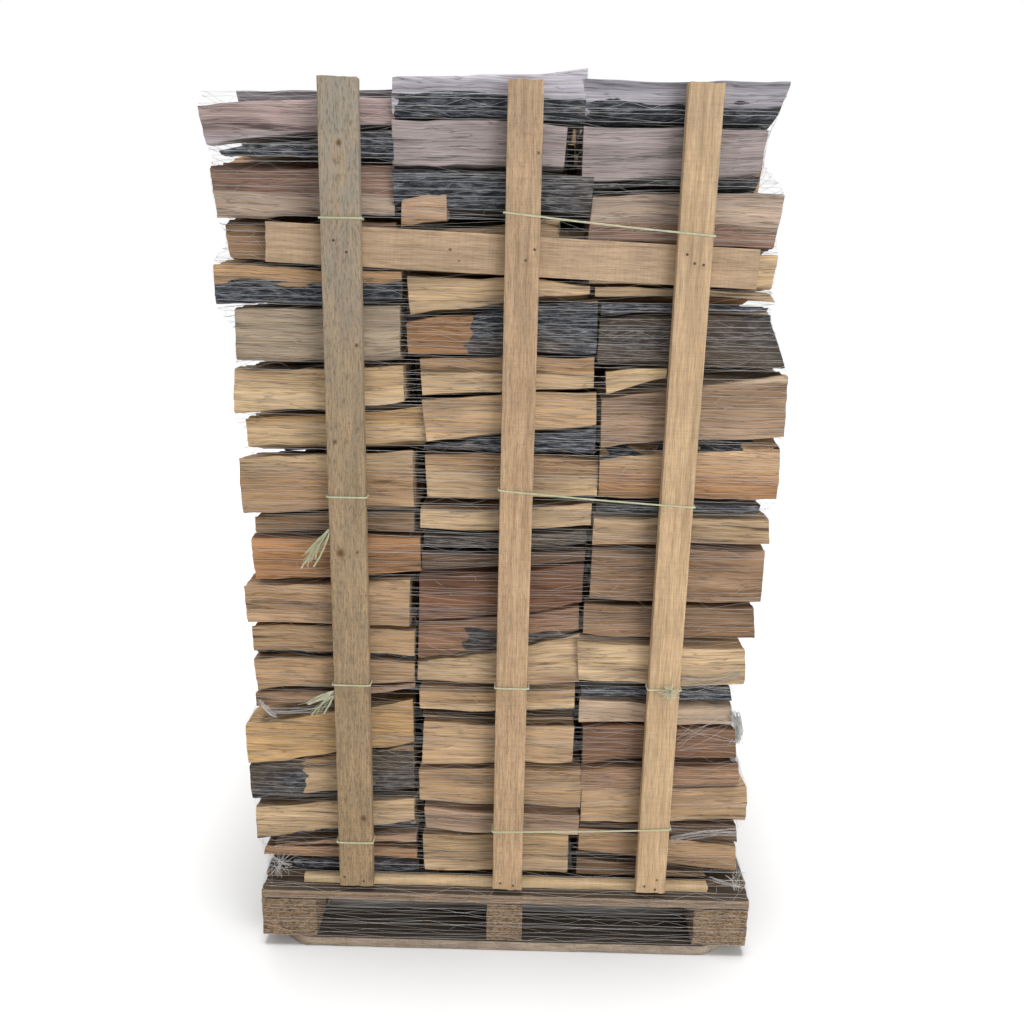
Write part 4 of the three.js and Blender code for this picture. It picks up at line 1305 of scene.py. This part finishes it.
def nail_steel():
    """Bright wire nail gone dull brown: smooth steel under thin rust."""
    material, tree, shader = new_material("rusted_wire_nail")
    rust = patterns_on(tree, add(tree, "TexCoord", out="Object"), [("rust", (2, 2, 2), 3.0, 0.6)])["rust"]
    colour = add(tree, "ValToRGB", [rust], stops=[(0.3, "#3b2c22"), (0.7, "#6a5a4c")])
    feed(tree, shader, {"Base Color": colour, "Metallic": 0.6, "Roughness": 0.55})
    return material


def build_nails():
    made, material = nail_group(), nail_steel()
    battens = [((x * -out, BATTEN_FACE * out, z), (0, out, 0)) for out in FRONT_AND_BACK.values()
               for x, z in BATTEN_NAILS]
    pallet = []
    for (xs, ys), z, way in ((DECK_NAILS, deck_top - 0.2, 1), (BASE_NAILS, -0.1, -1)):
        pallet += [((x, y, z), (0, 0, way)) for x in xs for y in ys]
    for kind, spots, width, slot in (("batten", battens, 0.0046, "pale_batten"),
                                     ("pallet", pallet, 0.0075, "pallet_board")):
        base = bpy.data.meshes.new("nail_spots")
        points, facings = (np.array(v, np.float32) for v in zip(*spots))
        base.vertices.add(len(points))
        base.vertices.foreach_set("co", (points * MM).ravel())
        base.attributes.new("facing", "FLOAT_VECTOR", "POINT").data.foreach_set("vector", facings.ravel())
        values = {"Head diameter": width, "Head height": 0.0009, "Tip angle": 0.09, "Seed": 3,
                  "Material": material}
        place_piece(grown(f"nails_{kind}", base, made, values), slot)


build_nails()


# ---- Twine --------------------------------------------------------------------------------------------

TWINE_WIDTH = 3.5
TWINE_FACE = 601.9
TWINE_REACH = 1.9   # from an upright's edge to the middle of the twine beside it
TUCK = 9.0          # how far the twine turns in behind an upright before it goes back through the stack
# From inside the stack round an upright's edge to its face: how far inward of the twine, and y.
WAY_ROUND = ((TUCK, 556), (TUCK, 570), (TUCK - 2, 573.4), (1, 574.4), (-0.4, 578), (-0.4, 588), (-0.4, 596),
             (-0.4, TWINE_FACE - 2.4), (-0.4, TWINE_FACE - 0.8))
# Heights of each tie at the left, middle and right upright.
TWINE_LEVELS = {"a": (1450, 1464, 1432), "b": (961, 980, 956), "c": (589, 590, 594), "d": (246, 278, 293)}
LAID = {"Ply diameter": 0.00175, "Lay diameter": 0.0018, "Lay length": 0.019, "Plies": 3, "Step": 0.0021}
TAIL_LAY = {"Ply diameter": 0.0016, "Lay diameter": 0.0022, "Lay length": 0.06, "Step": 0.004}
# Cut ends of the ties at the left upright: root, tip, how many and their spread.
CUT_STRIPS = [((-338, -594, 898), (-378, -598, 842), 4, 7), ((-338, -594, 573), (-392, -598, 556), 3, 7),
              ((-338, -594, 566), (-378, -598, 536), 2, 7)]
CUT_FIBRES = [((-338, -594, 898), (-384, -598, 836), 10, 9), ((-338, -594, 572), (-397, -598, 551), 5, 10),
              ((-338, -594, 565), (-384, -598, 530), 5, 8)]
STAR_RAYS = 11
TUFT_FRONT = -611  # loose ends come no further to the front


def lines_mesh(name, lines):
    """A mesh of edges along each line; a line is its points, in millimetres, and whether it closes."""
    points, edges, start = [], [], 0
    for line, closed in lines:
        n = len(line)
        k = np.arange(n if closed else n - 1)
        edges.append(np.stack([k, (k + 1) % n], 1) + start)
        points.append(line)
        start += n
    mesh = bpy.data.meshes.new(name)
    points, edges = np.concatenate(points), np.concatenate(edges)
    mesh.vertices.add(len(points))
    mesh.vertices.foreach_set("co", (points * MM).astype(np.float32).ravel())
    mesh.edges.add(len(edges))
    mesh.edges.foreach_set("vertices", edges.astype(np.int32).ravel())
    mesh.update()
    return mesh


def baler_twine():
    """Polypropylene baler twine: split film laid into plies, pale green, with a faint sheen and fine
    streaks of light and dark along it."""
    material, tree, shader = new_material("green_baler_twine")
    p = patterns_on(tree, add(tree, "TexCoord", out="Object"), [("fibrils", (9, 1.2, 1.2), 3.0, 0.6),
                                                                ("fade", (60, 60, 60), 2.0, 0.5)])
    colour = add(tree, "ValToRGB", [p["fibrils"]], stops=[(0.3, "#96967c"), (0.5, "#b4b498"),
                                                          (0.72, "#d0cfba")])
    colour = stained(tree, colour, [(p["fade"], [(0.4, 0.0), (0.7, 0.7)], "#a5ac80")])
    feed(tree, shader, {"Base Color": colour, "Roughness": 0.5, "IOR": 1.49})
    return material


def beside(place, side, z):
    """x of the twine beside an upright at a height; side is -1 or 1."""
    x, width, lean = UPRIGHTS[place]
    return x + math.tan(math.radians(lean)) * (z - UPRIGHT_MIDDLE) + side * (width / 2 + TWINE_REACH)


def tie_face(x0, x1, z0, z1, out):
    """A tie's run across a face: from just inside the stack, round the uprights and back in behind them."""
    xs = np.linspace(x0, x1, max(8, int((x1 - x0) / 12)))
    sag = 1.5 * np.sin(np.linspace(0, math.pi, len(xs))) * ((x1 - x0) > 120)
    zs = z0 + (z1 - z0) * (xs - x0) / (x1 - x0) - sag
    face = np.stack([xs, np.full(len(xs), out * TWINE_FACE), zs], 1)
    first = np.array([(x0 + dx, out * y, z0) for dx, y in WAY_ROUND])
    last = np.array([(x1 - dx, out * y, z1) for dx, y in WAY_ROUND[::-1]])
    return np.concatenate([first, face[1:-1], last])


def tuft(root, tip, strands, spread, rng, curl=6.0):
    """Loose ends of split twine fanning out from a root point to about a tip."""
    lines = []
    root, tip = np.array(root, float), np.array(tip, float)
    reach = np.linalg.norm(tip - root)
    t = np.linspace(0, 1, 9)[:, None]
    arc = np.sin(math.pi * t)
    for _ in range(strands):
        end = tip + rng.normal(0, spread, 3) * (1, 0.35, 1)
        end = root + (end - root) * rng.uniform(0.72, 1.05)
        bend = arc * rng.normal(0, curl, 3) * (1, 0.3, 1)
        line = root + rng.normal(0, 0.7, 3) + (end - root) * t + bend + np.array((0, -4, 0)) * arc
        line[:, 2] -= 0.1 * reach * t[:, 0] ** 2
        line[:, 1] = np.maximum(line[:, 1], TUFT_FRONT)
        lines.append((line, False))
    return lines


def build_twine():
    rope, thread = rope_group(), thread_group()
    material = baler_twine()
    ties = {f"{level}_left": ("left", "left", z[0], z[0]) for level, z in TWINE_LEVELS.items()}
    for level in "abd":
        ties[f"{level}_pair"] = ("middle", "right", *TWINE_LEVELS[level][1:])
    for place, z in (("middle", TWINE_LEVELS["c"][1]), ("right", TWINE_LEVELS["c"][2])):
        ties[f"c_{place}"] = (place, place, z, z)

    def twine_piece(name, lines, made, values, *nodes):
        values = {**values, "Material": material}
        place_piece(grown(name, lines_mesh("lines", lines), made, values), "baler_twine", *nodes)

    inside = []
    for name, (first, last, z0, z1) in ties.items():
        x0, x1 = beside(first, -1, z0), beside(last, 1, z1)
        runs = [(tie_face(x0, x1, z0, z1, out), False) for out in FRONT_AND_BACK.values()]
        twine_piece(f"tie_{name}_faces", runs, rope, LAID, f"twine_tie_{name}")
        for x, z in ((x0 + TUCK, z0), (x1 - TUCK, z1)):
            y = np.linspace(-558, 558, 20)
            inside.append((np.stack([0 * y + x, y, 0 * y + z], 1), False))
    plain = {"Thread diameter": TWINE_WIDTH * MM, "Sides": 6}
    twine_piece("ties_inside_stack", inside, thread, plain)

    rng = np.random.default_rng(17)
    strips = [line for cut in CUT_STRIPS for line in tuft(*cut, rng, 3)]
    twine_piece("twine_tails", strips, rope, {**LAID, **TAIL_LAY})
    fibres = [line for cut in CUT_FIBRES for line in tuft(*cut, rng)]
    for k in range(STAR_RAYS):
        angle = 2 * math.pi * k / STAR_RAYS + rng.uniform(-0.2, 0.2)
        tip = (307 + 19 * math.cos(angle), -608, 592 + 18 * math.sin(angle))
        fibres += tuft((307, -604, 594), tip, 4, 2.2, rng, curl=2.5)
    twine_piece("twine_fibres", fibres, thread, {"Thread diameter": 0.001, "Sides": 4})

    t = np.linspace(0, 2 * math.pi, 40)[:-1]
    loop = 4.2 * (1 + 0.3 * np.cos(3 * t))
    knot = np.stack([307 + loop * np.cos(2 * t), -603 - 1.6 * np.sin(3 * t), 594 + loop * np.sin(2 * t)], 1)
    twine_piece("twine_knots", [(knot, True)], thread, {**plain, "Thread diameter": 0.0028})


build_twine()


# ---- Net ----------------------------------------------------------------------------------------------

DIRECTIONS = 480
BAND = 6.0          # height step of the wrapped shape, in millimetres
NET_REST = 1.0      # how far the net's threads lie outside the wood
NET_EDGE = 1652.0   # the net's upper edge
NET_FACE = 597.0    # how far to the front and back it comes above the pallet, inside the uprights' faces
PALLET_TOP = 146.0
LAY_SLOPE = 1.3     # how steeply the taut net can follow the wood in and out, from one height to the next
LINE_POINTS = 216   # in each line round the load
KNIT_TURNS = 54
SLANTED_LINES = 30


def wrapped_shape(low, high):
    """The taut outline round the pieces at each height: for every band, a point for each direction."""
    clouds = []
    for thing in bpy.context.scene.collection.objects:
        if thing.name.startswith("logs_") or thing.name.endswith(("_plank", "_pressed")):
            points = np.empty(len(thing.data.vertices) * 3, np.float32)
            thing.data.vertices.foreach_get("co", points)
            clouds.append(points.reshape(-1, 3) / MM)
    cloud = np.concatenate(clouds)
    angle = 2 * math.pi * np.arange(DIRECTIONS) / DIRECTIONS
    outward = np.stack([np.cos(angle), np.sin(angle)])
    heights = np.arange(low, high + BAND, BAND)
    reach = np.full((len(heights), DIRECTIONS), -1e9)
    band = np.round((cloud[:, 2] - low) / BAND).astype(int)
    for k in range(len(heights)):
        here = cloud[band == k, :2]
        if len(here):
            reach[k] = (here @ outward).max(0)
    taut = reach.copy()
    for step in range(1, 21):
        slack = LAY_SLOPE * BAND * step * (0.4 + 0.6 * step / 20)
        taut[:-step] = np.maximum(taut[:-step], reach[step:] - slack)
        taut[step:] = np.maximum(taut[step:], reach[:-step] - slack)
    padded = np.concatenate([taut[:1], taut, taut[-1:]])
    taut = 0.25 * padded[:-2] + 0.5 * padded[1:-1] + 0.25 * padded[2:] + NET_REST
    taut = np.maximum(taut, reach + 0.4)
    a, b = taut, np.roll(taut, -1, axis=1)
    turn = 2 * math.pi / DIRECTIONS
    c0, s0 = outward
    c1, s1 = np.cos(angle + turn), np.sin(angle + turn)
    x = (a * s1 - b * s0) / math.sin(turn)
    y = (b * c0 - a * c1) / math.sin(turn)
    above = heights > PALLET_TOP
    y[above] = np.clip(y[above], -NET_FACE, NET_FACE)
    return heights, np.stack([x, y], -1)


def round_the_load(shape, heights, z_of):
    """A closed line round the wrapped shape, at heights that z_of gives for each share of the turn."""
    share = np.linspace(0, 1, DIRECTIONS, endpoint=False)
    z = z_of(share)
    level = np.clip((z - heights[0]) / BAND, 0, len(heights) - 1.001)
    k = level.astype(int)
    f = (level - k)[:, None]
    index = np.arange(DIRECTIONS)
    flat = shape[k, index] * (1 - f) + shape[k + 1, index] * f
    line = np.column_stack([flat, z])
    closed = np.vstack([line, line[:1]])
    run = np.concatenate([[0], np.cumsum(np.linalg.norm(np.diff(closed, axis=0), axis=1))])
    at = np.linspace(0, run[-1], LINE_POINTS, endpoint=False)
    return np.column_stack([np.interp(at, run, closed[:, i]) for i in range(3)])


def net_yarn():
    """Knitted polyethylene net of hair-fine translucent white yarn, drawn here as an opaque light grey so that
    it hardly shows on the logs and makes pale lines over the gaps."""
    material, tree, shader = new_material("translucent_net_yarn")
    feed(tree, shader, {"Base Color": linear("#bdbcba"), "Roughness": 0.42, "IOR": 1.51})
    return material


# Where loose net gathers: two ends of each bunch, its spread about them, how far it hangs outward and
# the number of its strands, in millimetres.
GATHERS = [
    ((-472, -562, 190), (-462, -584, 154), (17, 5, 6), (2, 0, 0), 9),
    ((-486, -570, 181), (-442, -574, 174), (5, 4, 12), (0, 0, -5), 8),
    ((-450, -562, 188), (-474, -584, 156), (15, 5, 5), (-2, 0, 0), 5),
    ((470, -560, 162), (474, -586, 150), (16, 6, 5), (4, 0, 4), 10),
    ((425, -562, 156), (488, -586, 158), (6, 5, 7), (0, 0, -5), 8),
    ((446, -560, 528), (452, -556, 466), (12, 8, 9), (9, 3, 0), 90),
    ((452, -556, 432), (456, -556, 404), (6, 5, 6), (8, 0, 0), 20),
    ((-494, -560, 534), (-468, -566, 502), (8, 5, 4), (-3, -3, 0), 14),
    ((-478, -566, 512), (-350, -574, 532), (6, 3, 7), (0, 0, -4), 9),
    ((335, -575, 600), (448, -574, 612), (1, 1, 18), (0, 0, -8), 9),
    ((335, -575, 485), (452, -574, 515), (1, 1, 36), (0, 0, 8), 10),
    ((335, -575, 250), (468, -574, 268), (1, 1, 12), (0, 0, 6), 12),
]


def gathers(rng):
    """Bunches of loose net strands, each a little bent its own way."""
    lines = []
    t = np.linspace(0, 1, 10)[:, None]
    for first, last, spread, hang, strands in GATHERS:
        for _ in range(strands):
            shift = rng.normal(0, 0.6, (2, 3)) * spread
            sag = np.array(hang) * rng.uniform(0.2, 1.15) + rng.normal(0, 0.2, 3) * spread
            bow = np.sin(math.pi * t) * sag
            line = (first + shift[0]) * (1 - t) + (last + shift[1]) * t + bow
            lines.append((line + rng.normal(0, 0.4, line.shape), False))
    return lines


def along_load(share, level):
    """Points for the noise that makes a line wander, one for each share of the turn round the load."""
    return np.column_stack([share * 3300, share * 0 + level, share * 0])


def net_lines(heights, shape, rng):
    """The net's lines: those round the load, the knitted zigzags between them and the slanted ones."""
    levels = [28.0]
    while levels[-1] < NET_EDGE:
        levels.append(levels[-1] + rng.uniform(9.0, 13.0))
    runs = []
    for level in levels:
        phase, sway = rng.uniform(0, 1), rng.uniform(1.0, 3.2)

        def z_of(share, level=level, phase=phase, sway=sway):
            slow = sway * np.sin(2 * math.pi * (share + phase))
            slow = slow + 1.3 * np.sin(2 * math.pi * (3 * share + 2 * phase))
            return level + slow + 1.6 * rough(along_load(share, level), 70, seed=3)
        line = round_the_load(shape, heights, z_of)
        runs.append(line + 0.25 * rng.normal(0, 1, line.shape))
    zigzag = []
    for low, high in zip(runs[:-1], runs[1:]):
        turns = np.sort(rng.choice(LINE_POINTS // 2, KNIT_TURNS, replace=False)) * 2
        line = np.where(np.arange(len(turns))[:, None] % 2, low[turns], high[turns])
        full = np.empty((2 * len(line), 3))
        full[0::2], full[1::2] = line, 0.5 * (line + np.roll(line, -1, axis=0))
        zigzag.append(full + rng.normal(0, 0.8, full.shape))
    slanted = []
    for _ in range(SLANTED_LINES):
        level = rng.uniform(60, 1640)
        lift = rng.choice([-1, 1]) * rng.uniform(4, 34)
        phase = rng.uniform(0, 1)

        def z_of(share, level=level, lift=lift, phase=phase):
            wander = 3 * rough(along_load(share, level), 160, seed=5)
            return np.clip(level + lift * np.sin(2 * math.pi * (share + phase)) + wander, 22, NET_EDGE)
        line = round_the_load(shape, heights, z_of)
        outward = line * (1, 1, 0)
        slanted.append(line + 0.8 * outward / np.linalg.norm(outward, axis=1, keepdims=True))
    return [[(line, True) for line in lines] for lines in (runs, zigzag, slanted)]


def build_net():
    rng = np.random.default_rng(29)
    heights, shape = wrapped_shape(14, 1712)
    thread, material = thread_group(), net_yarn()
    weft, zigzag, slanted = net_lines(heights, shape, rng)
    half, third = len(weft) // 2, len(zigzag) // 2
    sets = [("net_weft_low", weft[:half], 0.47), ("net_weft_high", weft[half:], 0.68),
            ("net_slanted", slanted, 0.45), ("net_knit_low", zigzag[:third], 0.38),
            ("net_knit_high", zigzag[third:], 0.38), ("net_gathers", gathers(rng), 0.7)]
    for name, lines, width in sets:
        values = {"Thread diameter": width * MM, "Sides": 3, "Material": material}
        place_piece(grown(name, lines_mesh("lines", lines), thread, values), "pallet_net", "net_skin")


build_net()


# ---- Floor, light and the end -------------------------------------------------------------------------

SKY = 0.56  # the sky's brightness as a light; it looks white from the camera
# Soft lamps: name, place, power in watts and size in metres.
LAMPS = [("key", (3.4, -4.2, 1.7), 162, 3.0), ("back", (-2.6, 4.2, 2.2), 70, 2.5)]


def add_studio():
    """A pale floor, a white backdrop, a large soft key lamp from the right, a lamp behind, and an even
    light from above that shows the floor white away from the load and grey close to it."""
    mesh = bpy.data.meshes.new("floor")
    reach = 14.0
    corners = [(-reach, -reach, 0), (reach, -reach, 0), (reach, reach, 0), (-reach, reach, 0)]
    mesh.from_pydata(corners, [], [(0, 1, 2, 3)])
    floor = bpy.data.objects.new("floor", mesh)
    material, tree, shader = new_material("studio_floor")
    feed(tree, shader, {"Base Color": (0.62, 0.62, 0.62, 1), "Roughness": 0.9})
    mesh.materials.append(material)
    bpy.context.scene.collection.objects.link(floor)
    world = bpy.data.worlds.new("studio")
    world.use_nodes = True
    tree = world.node_tree
    seen = add(tree, "LightPath", out="Is Camera Ray")
    strength = add(tree, "Math MULTIPLY_ADD", [seen, 1.0 - SKY, SKY])
    feed(tree, tree.nodes["Background"], {"Color": (1, 1, 1, 1), "Strength": strength})
    bpy.context.scene.world = world
    sun = bpy.data.lights.new("overhead", "SUN")
    sun.energy = 3.7
    sun.angle = math.radians(22)
    bpy.context.scene.collection.objects.link(bpy.data.objects.new("overhead", sun))
    for name, place, power, size in LAMPS:
        data = bpy.data.lights.new(name, "AREA")
        data.energy = power
        data.size = size
        lamp = bpy.data.objects.new(name, data)
        aim = Vector((0, 0, 0.8)) - Vector(place)
        lamp.matrix_world = Matrix.Translation(place) @ aim.to_track_quat("-Z", "Y").to_matrix().to_4x4()
        bpy.context.scene.collection.objects.link(lamp)
    bpy.context.scene.view_settings.view_transform = "Standard"


add_studio()
